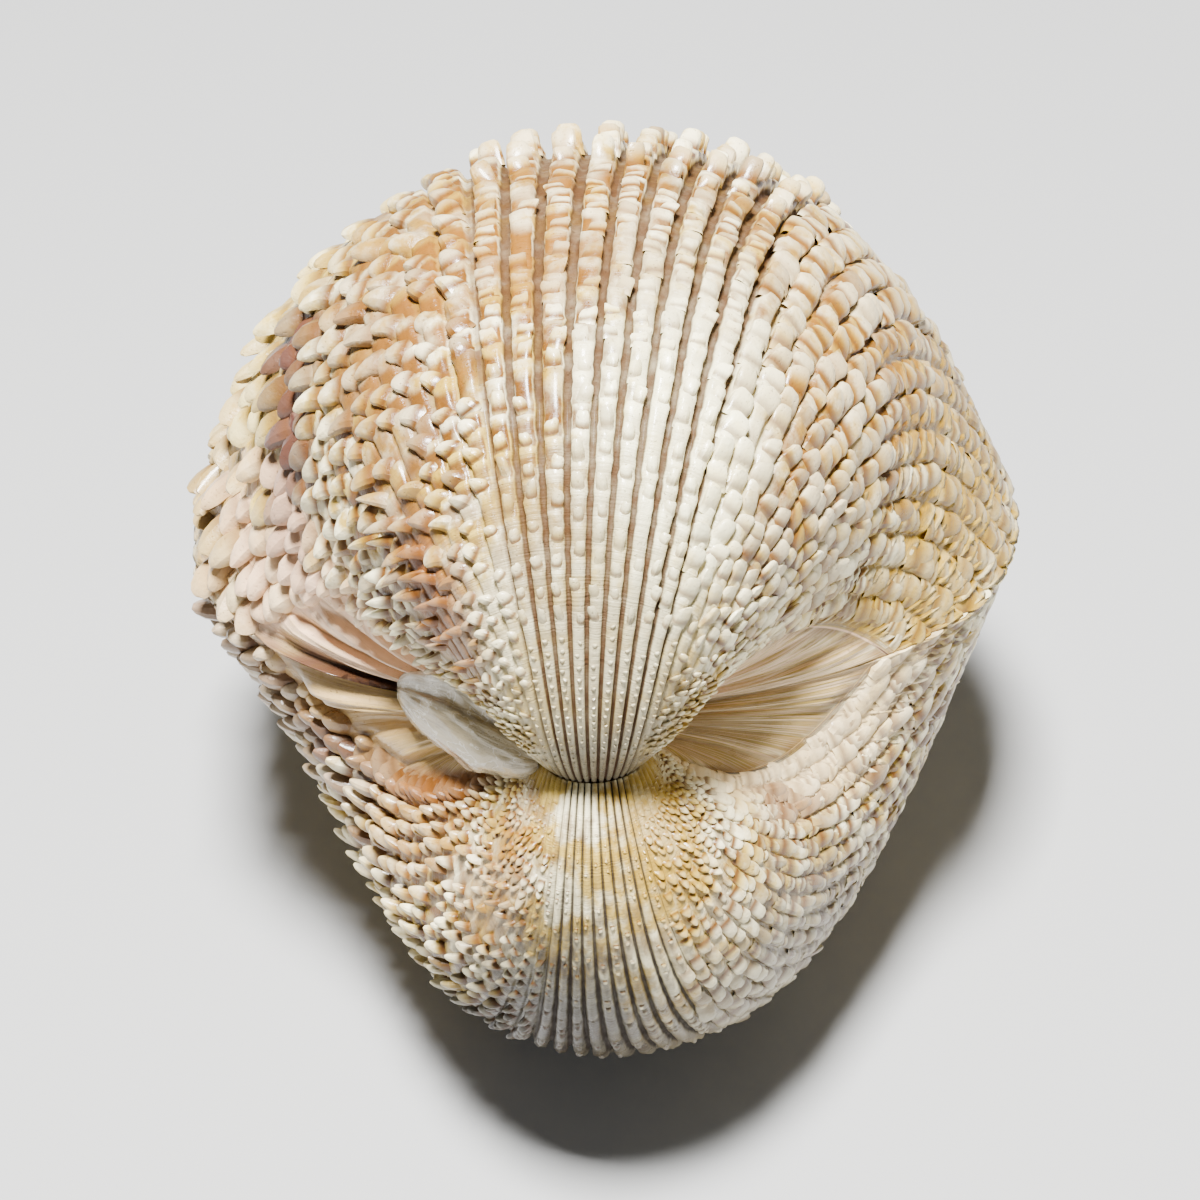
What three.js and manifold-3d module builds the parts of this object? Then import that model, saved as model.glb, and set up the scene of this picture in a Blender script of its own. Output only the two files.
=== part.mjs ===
// A prickly cockle shell, both valves closed, lying on its lower valve.
// Lengths are in millimetres and angles in radians.
// Each valve is a coiled cone: the outline of the valve's mouth turns about the hinge axis and shrinks
// as it turns, from the margin up and over to the beak. Ribs run from the beak to the margin, and rows
// of prickly scales stand on them. The valves meet on one plane, and the dried ligament bridges them
// behind the beaks.
// Valve frame: the hinge axis is X, with +X to the shell's front end. +Y runs in the plane of the mouth,
// from the hinge to the far margin, and Z is the depth of the valve.
import * as THREE from "three";
import { mergeVertices } from "three/addons/utils/BufferGeometryUtils.js";
import Module from "manifold-3d";

const wasm = await Module();
wasm.setup();

// The mouth's outline, an egg-shaped oval
const REACH = 52; // hinge axis to the far margin
const HINGE_STEP = 1.6; // hinge axis to the near margin
const REAR_HALF = 28; // half length behind the beak
const FRONT_HALF = 26; // half length ahead of the beak
const REAR_SHOULDER = 2.3; // power of the curve behind the hinge: 2 is an ellipse and more is squarer
const REAR_PINCH = 0.18; // share of the rear half length that is lost towards the beak
const FRONT_PINCH = 0.06; // and of the front half length
const PINCH_START = 1.5; // turns between which that happens
const PINCH_END = 2.6;

// How fast the outline shrinks as it turns: the logarithm's slope, and its growth with the turn
const SHRINK = 0.416;
const SHRINK_RISE = 0.0245;
const SHRINK_CURVE = 0.058;

// Ribs and scales
const RIBS_AHEAD = 18; // ribs ahead of the middle one
const RIBS_BEHIND = 19; // and behind it
const RIB_LIFT = 0.75; // crest above the smooth form, at the margin
const GROOVE_DEPTH = 0.45; // groove below the smooth form, at the margin
const SCALE_LIFT = 0.6; // scale tip above the crest, on the middle ribs
const SIDE_SCALE_LIFT = 0.4; // what the outer ribs' scales have on top of that
const SCALE_LEAN = 0.9; // how far a tip leans to the margin
const SCALE_ROWS = 20; // rows of points from margin to beak
const SMOOTH_COLUMNS = 8; // columns over the plain stretch at the hinge

// The two valves: the middle rib's place round the outline and the step from rib to rib, and how much
// wider each valve is than the mouth at its deepest, behind and ahead of the beak
const UPPER = { ribMiddle: 1.453, ribPitch: 0.1255, rearSwell: 0.04, frontSwell: 0 };
const LOWER = { ribMiddle: 1.56, ribPitch: 0.1215, rearSwell: -0.13, frontSwell: 0.04 };

// Turns of the coil: the first row lies just past the mouth and the last past the other valve's plane,
// so that the cut at the meeting plane leaves both flat
const FIRST_TURN = -0.05;
const LAST_TURN = 3.25;

// The hollow
const WALL = 1.6; // at the margin
const WALL_RISE = 0.9; // added by the end of the hollow
const HINGE_PLATE = 3.6; // shelf that carries the hinge
const HOLLOW_TURN = 2.0; // where the hollow ends under the beak
const HOLLOW_COLUMNS = 26;
const HOLLOW_ROWS = 6;

const MEETING_GAP = 0.24; // between the valves
const PRISM = 200; // size of the blocks that cut flats

// Ligament: a spindle in the furrow behind the beaks, from beside their tips out along the hinge
const LIGAMENT_NEAR = { x: -3, y: -4.6 };
const LIGAMENT_FAR = { x: -12.2, y: 3 };
const LIGAMENT_DEPTH = 2.3; // half its depth into the furrow
const LIGAMENT_HALF = 2.8; // half its width from valve to valve
const LIGAMENT_CLEARANCE = 0.3;
const LIGAMENT_RINGS = 7;
const LIGAMENT_SIDES = 12;

// How the shell lies: the far margin is tipped down, and the lowest ribs are worn flat where it rests
const TIP = 0.22;
const AXIS_HEIGHT = 31.35; // hinge axis above the surface it rests on
const AXIS_X = 1.046; // hinge axis and beaks from the middle of the whole form
const AXIS_Y = -19.602;

function shrink(turn) {
  return Math.exp(-SHRINK * turn - (SHRINK_RISE * turn ** 2) / 2 - (SHRINK_CURVE * turn ** 3) / 3);
}

// The valve's oval at one turn, between a near and a far edge and drawn in by a wall: around is the
// place round it, 0 at the front end and a quarter turn at the far margin
function ovalPoint(valve, around, turn, near, far, wall) {
  const rear = Math.cos(around) < 0;
  const depth = Math.sin(Math.min(Math.max(turn, 0), Math.PI));
  const pinch = (rear ? REAR_PINCH : FRONT_PINCH) * THREE.MathUtils.smoothstep(turn, PINCH_START, PINCH_END);
  const swell = 1 + (rear ? valve.rearSwell : valve.frontSwell) * depth - pinch;
  const half = (rear ? REAR_HALF : FRONT_HALF) * swell * shrink(turn) - wall;
  const power = 2 / (rear && Math.sin(around) < 0 ? REAR_SHOULDER : 2);
  const x = half * Math.sign(Math.cos(around)) * Math.abs(Math.cos(around)) ** power;
  const rise = Math.sign(Math.sin(around)) * Math.abs(Math.sin(around)) ** power;
  const y = (near + far) / 2 + ((far - near) / 2) * rise;
  return new THREE.Vector3(x, y * Math.cos(turn), y * Math.sin(turn));
}

// A point of the smooth form
function smoothPoint(valve, around, turn) {
  const s = shrink(turn);
  return ovalPoint(valve, around, turn, HINGE_STEP * s, REACH * s, 0);
}

function outward(valve, around, turn) {
  const step = 1e-3;
  const across = smoothPoint(valve, around + step, turn).sub(smoothPoint(valve, around - step, turn));
  const along = smoothPoint(valve, around, turn + step).sub(smoothPoint(valve, around, turn - step));
  return across.cross(along).normalize();
}

// The columns of the outer surface: a groove and a crest for each rib, then the plain stretch at the hinge
function columnsOf(valve) {
  const columns = [];
  for (let rib = -RIBS_AHEAD; rib <= RIBS_BEHIND; rib++) {
    const middle = valve.ribMiddle + rib * valve.ribPitch;
    columns.push({ around: middle - valve.ribPitch / 2, rib, kind: "groove" });
    columns.push({ around: middle, rib, kind: "crest" });
  }
  const start = columns[0].around;
  const end = columns[columns.length - 1].around + valve.ribPitch / 2;
  const left = 2 * Math.PI - (end - start);
  for (let i = 0; i < SMOOTH_COLUMNS; i++) {
    columns.push({ around: end + (left * i) / SMOOTH_COLUMNS, rib: null, kind: "plain" });
  }
  return columns;
}

// A point of the ribbed and scaled surface
function ribbedPoint(valve, column, row, turn, clearance) {
  const size = Math.max(shrink(turn), 0.16);
  const lift = { groove: -GROOVE_DEPTH * size, crest: RIB_LIFT * size, plain: 0 }[column.kind];
  let height = lift + clearance;
  let seenTurn = turn;
  if (column.kind === "crest" && (row + column.rib) % 2 === 0) {
    const side = Math.min(1, Math.abs(column.rib) / RIBS_AHEAD);
    height += (SCALE_LIFT + SIDE_SCALE_LIFT * side) * size;
    seenTurn = turn - (SCALE_LEAN * size) / REACH;
  }
  const point = smoothPoint(valve, column.around, seenTurn);
  return point.addScaledVector(outward(valve, column.around, seenTurn), height);
}

// A closed solid from rings of points that run in step, with a fan over each end
function solidOfRings(rings) {
  const sides = rings[0].length;
  const points = rings.flat();
  const faces = [];
  for (let k = 0; k + 1 < rings.length; k++) {
    for (let i = 0; i < sides; i++) {
      const next = (i + 1) % sides;
      const [a, b, c, d] = [k * sides + i, k * sides + next, (k + 1) * sides + next, (k + 1) * sides + i];
      faces.push(a, b, c, a, c, d);
    }
  }
  for (const [ring, flip] of [[0, true], [rings.length - 1, false]]) {
    const hub = points.length;
    const middle = new THREE.Vector3();
    rings[ring].forEach((p) => middle.addScaledVector(p, 1 / sides));
    points.push(middle);
    for (let i = 0; i < sides; i++) {
      const [a, b] = [ring * sides + i, ring * sides + ((i + 1) % sides)];
      faces.push(...(flip ? [hub, b, a] : [a, b, hub]));
    }
  }
  return new wasm.Manifold(
    new wasm.Mesh({
      numProp: 3,
      vertProperties: new Float32Array(points.flatMap((p) => [p.x, p.y, p.z])),
      triVerts: new Uint32Array(faces),
    }),
  );
}

// A three.js geometry as a solid
function solidOf(geometry) {
  geometry.deleteAttribute("normal");
  geometry.deleteAttribute("uv");
  const merged = mergeVertices(geometry, 1e-4);
  return new wasm.Manifold(
    new wasm.Mesh({
      numProp: 3,
      vertProperties: merged.attributes.position.array,
      triVerts: new Uint32Array(merged.index.array),
    }),
  );
}

// A block that fills everything below the given height
function blockBelow(height) {
  return solidOf(new THREE.BoxGeometry(PRISM, PRISM, PRISM).translate(0, 0, height - PRISM / 2));
}

function turnsTo(last, rows) {
  return Array.from({ length: rows + 1 }, (_, k) => FIRST_TURN + ((last - FIRST_TURN) * k) / rows);
}

// The valve without its hollow, grown by the clearance
function outerForm(valve, clearance) {
  const columns = columnsOf(valve);
  const rings = turnsTo(LAST_TURN, SCALE_ROWS).map((turn, row) =>
    columns.map((column) => ribbedPoint(valve, column, row, turn, clearance)),
  );
  return solidOfRings(rings);
}

// The hollow of a valve: the outline drawn in by the wall, and by the hinge plate at the hinge
function hollowForm(valve) {
  const rings = turnsTo(HOLLOW_TURN, HOLLOW_ROWS).map((turn) => {
    const s = shrink(turn);
    const wall = WALL + (WALL_RISE * Math.max(turn, 0)) / HOLLOW_TURN;
    const near = s * HINGE_STEP + HINGE_PLATE * Math.sqrt(s);
    const far = s * REACH - wall;
    return Array.from({ length: HOLLOW_COLUMNS }, (_, i) =>
      ovalPoint(valve, (2 * Math.PI * (i + 0.5)) / HOLLOW_COLUMNS, turn, near, far, wall),
    );
  });
  return solidOfRings(rings);
}

// An upper valve in its own frame, flat where it meets the other
function valveForm(valve) {
  return outerForm(valve, 0).subtract(hollowForm(valve)).subtract(blockBelow(MEETING_GAP / 2));
}

// The ligament fills the furrow between the valves and keeps clear of both
function ligamentForm() {
  const rings = Array.from({ length: LIGAMENT_RINGS }, (_, k) => {
    const along = (k + 0.5) / LIGAMENT_RINGS;
    const swell = Math.sqrt(Math.sin(Math.PI * along));
    const x = THREE.MathUtils.lerp(LIGAMENT_FAR.x, LIGAMENT_NEAR.x, along);
    const middle = THREE.MathUtils.lerp(LIGAMENT_FAR.y, LIGAMENT_NEAR.y, along);
    return Array.from({ length: LIGAMENT_SIDES }, (_, i) => {
      const angle = (2 * Math.PI * i) / LIGAMENT_SIDES;
      const y = middle + LIGAMENT_DEPTH * swell * Math.cos(angle);
      return new THREE.Vector3(x, y, LIGAMENT_HALF * swell * Math.sin(angle));
    });
  });
  const spindle = solidOfRings(rings);
  const upper = outerForm(UPPER, LIGAMENT_CLEARANCE);
  const lower = outerForm(LOWER, LIGAMENT_CLEARANCE).mirror([0, 0, 1]);
  const pieces = spindle.subtract(upper).subtract(lower).decompose();
  return pieces.sort((a, b) => b.volume() - a.volume())[0];
}

// From the valve frame to the way the shell lies
function laid(solid) {
  return solid.rotate([-THREE.MathUtils.radToDeg(TIP), 0, 0]).translate([AXIS_X, AXIS_Y, AXIS_HEIGHT]);
}

function meshOf(name, solid, material) {
  const made = solid.getMesh();
  const stride = made.numProp;
  const position = new Float32Array(made.numVert * 3);
  for (let i = 0; i < made.numVert; i++) {
    position.set(made.vertProperties.subarray(i * stride, i * stride + 3), i * 3);
  }
  const geometry = new THREE.BufferGeometry();
  geometry.setAttribute("position", new THREE.BufferAttribute(position, 3));
  geometry.setIndex(new THREE.BufferAttribute(made.triVerts, 1));
  geometry.computeVertexNormals();
  const mesh = new THREE.Mesh(geometry, material);
  mesh.name = name;
  return mesh;
}

const CREAM = new THREE.MeshStandardMaterial({ color: 0xe9dcc2, roughness: 0.5, metalness: 0 });
const WARM_CREAM = new THREE.MeshStandardMaterial({ color: 0xdcccb0, roughness: 0.5, metalness: 0 });
const PEARL_GREY = new THREE.MeshStandardMaterial({ color: 0xb9b3a4, roughness: 0.3, metalness: 0 });

const upperValve = laid(valveForm(UPPER));
const lowerValve = laid(valveForm(LOWER).mirror([0, 0, 1])).subtract(blockBelow(0));

const shell = new THREE.Group();
shell.add(meshOf("upper_valve", upperValve, CREAM));
shell.add(meshOf("lower_valve", lowerValve, WARM_CREAM));
shell.add(meshOf("ligament", laid(ligamentForm()), PEARL_GREY));

export default shell;
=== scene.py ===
"""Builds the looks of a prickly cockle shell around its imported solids, in metres.

The two valves are closed and the shell lies on the lower one. Each valve is a coiled cone: the oval of its
mouth turns about the hinge axis and shrinks as it turns, from the margin up and over to the beak. In the
valve's own frame the hinge axis is X, +X points to the shell's front end, +Y lies in the plane of the mouth
and runs to the far margin, and Z is the valve's depth. "around" is the place round the oval, in radians, 0
at the front end and a quarter turn at the far margin. "turn" is the angle from the margin to the beak.
"""

import logging
import math
from dataclasses import dataclass, field
from enum import Enum

import bpy
import numpy as np
from mathutils import Matrix, Vector

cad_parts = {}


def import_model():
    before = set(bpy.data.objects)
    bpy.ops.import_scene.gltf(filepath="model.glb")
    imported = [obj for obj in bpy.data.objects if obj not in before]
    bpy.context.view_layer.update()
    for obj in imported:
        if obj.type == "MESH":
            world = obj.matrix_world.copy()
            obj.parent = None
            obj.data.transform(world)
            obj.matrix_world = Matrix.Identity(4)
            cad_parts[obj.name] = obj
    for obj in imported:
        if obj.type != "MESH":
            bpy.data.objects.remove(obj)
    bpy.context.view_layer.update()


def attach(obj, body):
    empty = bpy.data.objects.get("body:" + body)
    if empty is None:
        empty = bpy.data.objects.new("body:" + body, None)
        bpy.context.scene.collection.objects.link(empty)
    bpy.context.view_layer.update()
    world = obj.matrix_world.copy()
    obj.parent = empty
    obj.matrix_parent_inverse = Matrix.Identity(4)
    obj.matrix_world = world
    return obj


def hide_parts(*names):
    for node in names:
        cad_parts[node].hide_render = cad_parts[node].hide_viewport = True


LOG = logging.getLogger("shell")
MM = 0.001


class Slot(Enum):
    """The record's material slots."""

    UPPER = "upper_shell"
    LOWER = "lower_shell"
    LIGAMENT = "ligament"


class Side(Enum):
    """Which way a valve faces from the plane where the two meet."""

    UP = 1
    DOWN = -1


def ramp(value: np.ndarray, start: float, end: float) -> np.ndarray:
    """Rises smoothly from 0 at start to 1 at end.

    Args:
        value: Numbers to look up.
        start: Where the rise begins.
        end: Where it ends; it may be below start.

    Returns:
        The eased share for each number.
    """
    share = np.clip((value - start) / (end - start), 0.0, 1.0)
    return share * share * (3.0 - 2.0 * share)


def bell(value: np.ndarray, middle: float, width: float) -> np.ndarray:
    """Gives a smooth bump of height 1 at middle."""
    return np.exp(-(((value - middle) / width) ** 2))


def ripple(across: np.ndarray, along: np.ndarray, pitch: tuple[float, float], seed: int) -> np.ndarray:
    """Gives smooth, seeded irregularity over two coordinates.

    Args:
        across: First coordinate.
        along: Second coordinate.
        pitch: Typical distance between bumps in each coordinate.
        seed: Picks the pattern.

    Returns:
        Values between about -1 and 1.
    """
    source = np.random.default_rng(seed)
    total = np.zeros(np.broadcast(across, along).shape)
    for _ in range(6):
        angle, phase = source.uniform(0.0, 2.0 * math.pi, 2)
        speed = source.uniform(0.6, 1.5) * 2.0 * math.pi
        total = total + np.sin(
            speed * (across / pitch[0] * math.cos(angle) + along / pitch[1] * math.sin(angle)) + phase
        )
    return total / 3.0


@dataclass(frozen=True)
class Coil:
    """The smooth form of the valves, in millimetres and radians."""

    reach: float = 52.0
    hinge_step: float = 1.6
    rear_half: float = 28.0
    front_half: float = 26.0
    rear_shoulder: float = 2.3
    rear_pinch: float = 0.18
    front_pinch: float = 0.06
    pinch_turns: tuple[float, float] = (1.5, 2.6)
    slope: float = 0.416
    slope_rise: float = 0.0245
    slope_curve: float = 0.058
    gap: float = 0.06

    def shrink(self, turn: np.ndarray) -> np.ndarray:
        """Gives the size of the oval at a turn, 1 at the margin."""
        power = self.slope * turn + self.slope_rise * turn**2 / 2 + self.slope_curve * turn**3 / 3
        return np.exp(-power)

    def point(
        self, around: np.ndarray, turn: np.ndarray, rear_swell: float, front_swell: float, wall: float = 0.0
    ) -> np.ndarray:
        """Places points on the smooth form of an upper valve.

        Args:
            around: Places round the oval.
            turn: Turns from the margin.
            rear_swell: How much wider than the mouth the valve is behind the beak.
            front_swell: The same, ahead of the beak.
            wall: How far the oval is drawn in all round.

        Returns:
            Points with a last axis of three.
        """
        around, turn = np.broadcast_arrays(around, turn)
        cos, sin = np.cos(around), np.sin(around)
        rear = cos < 0
        depth = np.sin(np.clip(turn, 0.0, math.pi))
        pinch = np.where(rear, self.rear_pinch, self.front_pinch) * ramp(turn, *self.pinch_turns)
        swell = 1.0 + np.where(rear, rear_swell, front_swell) * depth - pinch
        size = self.shrink(turn)
        half = np.maximum(np.where(rear, self.rear_half, self.front_half) * swell * size - wall, 0.05)
        near, far = self.hinge_step * size + wall, self.reach * size - wall
        power = 2.0 / np.where(rear & (sin < 0), self.rear_shoulder, 2.0)
        x = half * np.sign(cos) * np.abs(cos) ** power
        y = (near + far) / 2 + (far - near) / 2 * np.sign(sin) * np.abs(sin) ** power
        return np.stack([x, y * np.cos(turn), y * np.sin(turn)], axis=-1)


@dataclass(frozen=True)
class Lie:
    """How the shell lies: the far margin tipped down, on ribs worn flat."""

    tip: float = 0.22
    axis: tuple[float, float, float] = (1.046, -19.602, 31.35)

    def place(self, points: np.ndarray, side: Side) -> np.ndarray:
        """Takes points of an upper valve in millimetres to the row frame in metres.

        Args:
            points: Points with a last axis of three.
            side: DOWN mirrors them to the lower valve first.

        Returns:
            The same points where the shell lies, none below the ground.
        """
        x, y, z = points[..., 0], points[..., 1], points[..., 2] * side.value
        cos, sin = math.cos(self.tip), math.sin(self.tip)
        laid = np.stack(
            [x + self.axis[0], y * cos + z * sin + self.axis[1], z * cos - y * sin + self.axis[2]], axis=-1
        )
        laid[..., 2] = np.maximum(laid[..., 2], 0.0)
        return laid * MM

    def matrix(self) -> Matrix:
        """Gives the same move for an upper valve's frame as a matrix, in metres."""
        return Matrix.Translation(Vector(self.axis) * MM) @ Matrix.Rotation(-self.tip, 4, "X")


def mesh_piece(name: str, points: np.ndarray, faces: np.ndarray, smooth: bool = True) -> bpy.types.Object:
    """Makes an object from points and four-cornered faces.

    Args:
        name: The piece's name.
        points: Corners in metres, one to a row.
        faces: Four corner numbers to a row; a repeated last number makes a triangle.
        smooth: Whether it is shaded smooth.

    Returns:
        The new object, in the scene.
    """
    mesh = bpy.data.meshes.new(name)
    mesh.vertices.add(len(points))
    mesh.vertices.foreach_set("co", points.astype(np.float32).ravel())
    kept = np.ones(faces.shape, bool)
    kept[:, 3] = faces[:, 2] != faces[:, 3]
    corners = kept.sum(axis=1)
    mesh.loops.add(int(corners.sum()))
    mesh.loops.foreach_set("vertex_index", faces[kept].astype(np.int32))
    mesh.polygons.add(len(faces))
    mesh.polygons.foreach_set("loop_start", (np.cumsum(corners) - corners).astype(np.int32))
    mesh.polygons.foreach_set("use_smooth", np.full(len(faces), smooth))
    mesh.update(calc_edges=True)
    mesh.validate()
    piece = bpy.data.objects.new(name, mesh)
    bpy.context.scene.collection.objects.link(piece)
    return piece


def note(piece: bpy.types.Object, name: str, values: np.ndarray) -> None:
    """Writes three numbers for each corner of a piece, for its material to read.

    Args:
        piece: The object.
        name: The attribute's name.
        values: Three numbers to a row, in the order of the corners.
    """
    made = piece.data.attributes.new(name, "FLOAT_VECTOR", "POINT")
    made.data.foreach_set("vector", values.astype(np.float32).ravel())


def grid_faces(rows: int, columns: int, closed: bool, flip: bool) -> np.ndarray:
    """Lists the four-cornered faces of a grid of points stored row by row.

    Args:
        rows: Number of rows.
        columns: Number of points in a row.
        closed: Whether each row's last point meets its first.
        flip: Turns every face the other way.

    Returns:
        Four corner numbers to a row.
    """
    across = np.arange(columns if closed else columns - 1)
    row = np.arange(rows - 1)[:, None] * columns
    a = row + across
    b = row + (across + 1) % columns
    faces = np.stack([a, b, b + columns, a + columns], axis=-1).reshape(-1, 4)
    return faces[:, ::-1] if flip else faces


@dataclass(frozen=True)
class Ribs:
    """The ribs of a valve: their places round the oval and their cut across."""

    pitch: float
    middle: float
    first: int
    last: int
    lift: float = 0.75
    side_lift: float = 0.44
    groove: float = 0.45
    side_groove: float = 0.06
    outer_drop: float = 0.22
    cords: float = 0.35
    stations: tuple[float, ...] = (-0.5, -0.41, -0.36, -0.295, -0.17, 0.0, 0.17, 0.295, 0.36, 0.41)

    def numbers(self) -> np.ndarray:
        """Lists the rib numbers; the rear ones are positive."""
        return np.arange(self.first, self.last + 1)

    def around(self, number: np.ndarray, station: float = 0.0) -> np.ndarray:
        """Gives the place round the oval of a station across a rib."""
        return self.middle + self.pitch * (number + station)

    def start(self) -> float:
        """Gives the front edge of the first rib."""
        return self.middle + self.pitch * (self.first - 0.5)

    def end(self) -> float:
        """Gives the rear edge of the last rib."""
        return self.middle + self.pitch * (self.last + 0.5)

    def heights(self, number: np.ndarray) -> tuple[np.ndarray, np.ndarray]:
        """Gives the ribs' relief; the outer ribs are flatter.

        Args:
            number: Rib numbers.

        Returns:
            How high the ribs stand and how deep their grooves lie, in millimetres.
        """
        side, outer = ramp(np.abs(number), 3.5, 7.0), ramp(np.abs(number), 8.0, 13.0)
        lift = self.lift + (self.side_lift - self.lift) * side - self.outer_drop * outer
        return lift, self.groove + (self.side_groove - self.groove) * side

    def strength(self, around: np.ndarray) -> np.ndarray:
        """Gives how boldly the ribs stand, fading over the outermost ones."""
        inner = ramp(around, self.start() - 0.02, self.start() + 0.35)
        return 0.25 + 0.75 * np.minimum(inner, ramp(around, self.end() + 0.02, self.end() - 0.3))

    def cut(self, station: np.ndarray, number: np.ndarray, turn: np.ndarray) -> np.ndarray:
        """Gives the height across a rib, 0 on the groove's flat floor and 1 on the crest.

        Args:
            station: Place across the rib, from one groove at -0.5 to the next at 0.5.
            number: The rib's number; the outer ribs have narrower grooves.
            turn: Turns from the margin; towards the beak the ribs become round cords.

        Returns:
            Heights between 0 and 1.
        """
        away = np.abs(station) / (1.0 + 0.24 * ramp(np.abs(number), 5.0, 11.0))
        boxed = ramp(away, 0.4, 0.285) * (1.0 - 1.3 * away**2)
        cord = 1.0 - (2.0 * station) ** 2
        return boxed + (cord - boxed) * self.cords * ramp(turn, 1.4, 2.1)


class ScaleKind(Enum):
    """The shapes that the scales on the ribs take."""

    BLOCK = "block"
    TOOTH = "tooth"
    SPINE = "spine"
    STUD = "stud"
    PEG = "peg"
    SHIELD = "shield"
    FRILL = "frill"
    LUMP = "lump"
    HOOK = "hook"
    BEAD = "bead"
    TONGUE = "tongue"
    THORN = "thorn"


@dataclass(frozen=True)
class ScaleForm:
    """One shape of scale, in millimetres on a valve of full size.

    Widths are shares of the rib's own width from groove to groove. lean and curl are the slopes of the root
    and the tip above the rib, in radians. arch bends the sides down round the rib, and cup draws them ahead
    of the middle. square is the power of the cross-section, and blunt is how much of it is left at the tip.
    spacing is the step to the next scale, and growth the power of the valve's size that all of it follows.
    uneven is how much its length and place change from one scale to the next, as a share, and full is the
    size of the valve from which the scales grow no more. aside is how far a scale turns from the margin
    towards the rear, in radians; the outer ribs' scales turn less. hook is how far its tip bends on that way,
    as a share of its length.
    """

    length: float
    root: float
    tip: float
    thick: float
    thin: float
    lean: float
    curl: float
    arch: float
    cup: float
    square: float
    blunt: float
    spacing: float
    growth: float
    uneven: float = 0.2
    full: float = 1.0
    aside: float = 0.0
    hook: float = 0.0


SCALE_FORMS: dict[ScaleKind, ScaleForm] = {
    ScaleKind.BLOCK: ScaleForm(
        length=1.7, root=0.6, tip=0.56, thick=1.0, thin=0.7, lean=1.2, curl=0.9, arch=0.1, cup=0.3,
        square=3.6, blunt=0.85, spacing=3.3, growth=0.6, uneven=0.35,
    ),
    ScaleKind.TOOTH: ScaleForm(
        length=2.7, root=1.25, tip=0.72, thick=1.5, thin=0.7, lean=0.75, curl=0.3, arch=0.3, cup=0.2,
        square=3.6, blunt=0.5, spacing=4.7, growth=1.1, uneven=0.3, full=0.8, aside=0.85, hook=0.4,
    ),
    ScaleKind.SPINE: ScaleForm(
        length=3.7, root=0.95, tip=0.28, thick=1.3, thin=0.4, lean=0.8, curl=0.15, arch=0.2, cup=0.1,
        square=3.0, blunt=0.3, spacing=4.6, growth=1.1, uneven=0.3, full=0.74, aside=0.85, hook=0.2,
    ),
    ScaleKind.STUD: ScaleForm(
        length=2.4, root=1.1, tip=0.55, thick=1.9, thin=0.9, lean=1.0, curl=0.6, arch=0.1, cup=0.0,
        square=2.8, blunt=0.5, spacing=4.2, growth=0.6, uneven=0.25, full=1.0, aside=0.6, hook=0.25,
    ),
    ScaleKind.PEG: ScaleForm(
        length=2.5, root=0.9, tip=0.5, thick=1.4, thin=0.75, lean=0.85, curl=0.45, arch=0.2, cup=0.15,
        square=3.2, blunt=0.5, spacing=3.7, growth=1.0, uneven=0.3, full=0.8, aside=0.7, hook=0.3,
    ),
    ScaleKind.SHIELD: ScaleForm(
        length=2.1, root=0.9, tip=0.84, thick=0.75, thin=0.4, lean=0.4, curl=0.1, arch=0.25, cup=-0.2,
        square=6.0, blunt=0.9, spacing=2.7, growth=0.7, uneven=0.25, full=0.85,
    ),
    ScaleKind.FRILL: ScaleForm(
        length=1.5, root=0.82, tip=0.66, thick=0.85, thin=0.5, lean=0.24, curl=0.05, arch=0.3, cup=0.1,
        square=3.0, blunt=0.7, spacing=2.9, growth=0.35, uneven=0.5,
    ),
    ScaleKind.LUMP: ScaleForm(
        length=1.3, root=0.56, tip=0.54, thick=0.55, thin=0.26, lean=0.26, curl=0.06, arch=0.2, cup=0.6,
        square=3.4, blunt=0.8, spacing=2.6, growth=0.6, uneven=0.35,
    ),
    ScaleKind.HOOK: ScaleForm(
        length=1.5, root=0.54, tip=0.44, thick=0.6, thin=0.3, lean=0.5, curl=0.15, arch=0.35, cup=0.75,
        square=3.0, blunt=0.5, spacing=2.8, growth=0.6, uneven=0.3,
    ),
    ScaleKind.BEAD: ScaleForm(
        length=0.6, root=0.38, tip=0.3, thick=0.6, thin=0.42, lean=0.8, curl=0.6, arch=0.2, cup=0.1,
        square=2.0, blunt=0.8, spacing=1.5, growth=0.75,
    ),
    ScaleKind.TONGUE: ScaleForm(
        length=3.4, root=1.5, tip=0.7, thick=0.8, thin=0.4, lean=0.5, curl=0.15, arch=0.2, cup=0.0,
        square=2.6, blunt=0.4, spacing=5.2, growth=1.25, uneven=0.15, full=1.0, aside=-2.2,
    ),
    ScaleKind.THORN: ScaleForm(
        length=1.3, root=0.85, tip=0.4, thick=0.7, thin=0.35, lean=0.85, curl=0.4, arch=0.2, cup=0.3,
        square=2.8, blunt=0.4, spacing=1.7, growth=0.6, uneven=0.35,
    ),
}


# How far along a scale each of its rings lies; the first ring is sunk in the rib.
RINGS = np.array([[-0.3, 0.08, 0.36, 0.64, 0.88, 1.0]])
ABOVE = np.clip(RINGS, 0.0, 1.0)
# The number that the plain stretch's columns carry where a rib's number is asked for.
PLAIN_NUMBER = 20
# A rib's path for each radian of turn, as a share of the valve's reach.
RIB_PATH = 1.07
# The smallest size that the relief follows, so that the beaks keep their ribs.
LEAST_SIZE = 0.16


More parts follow.
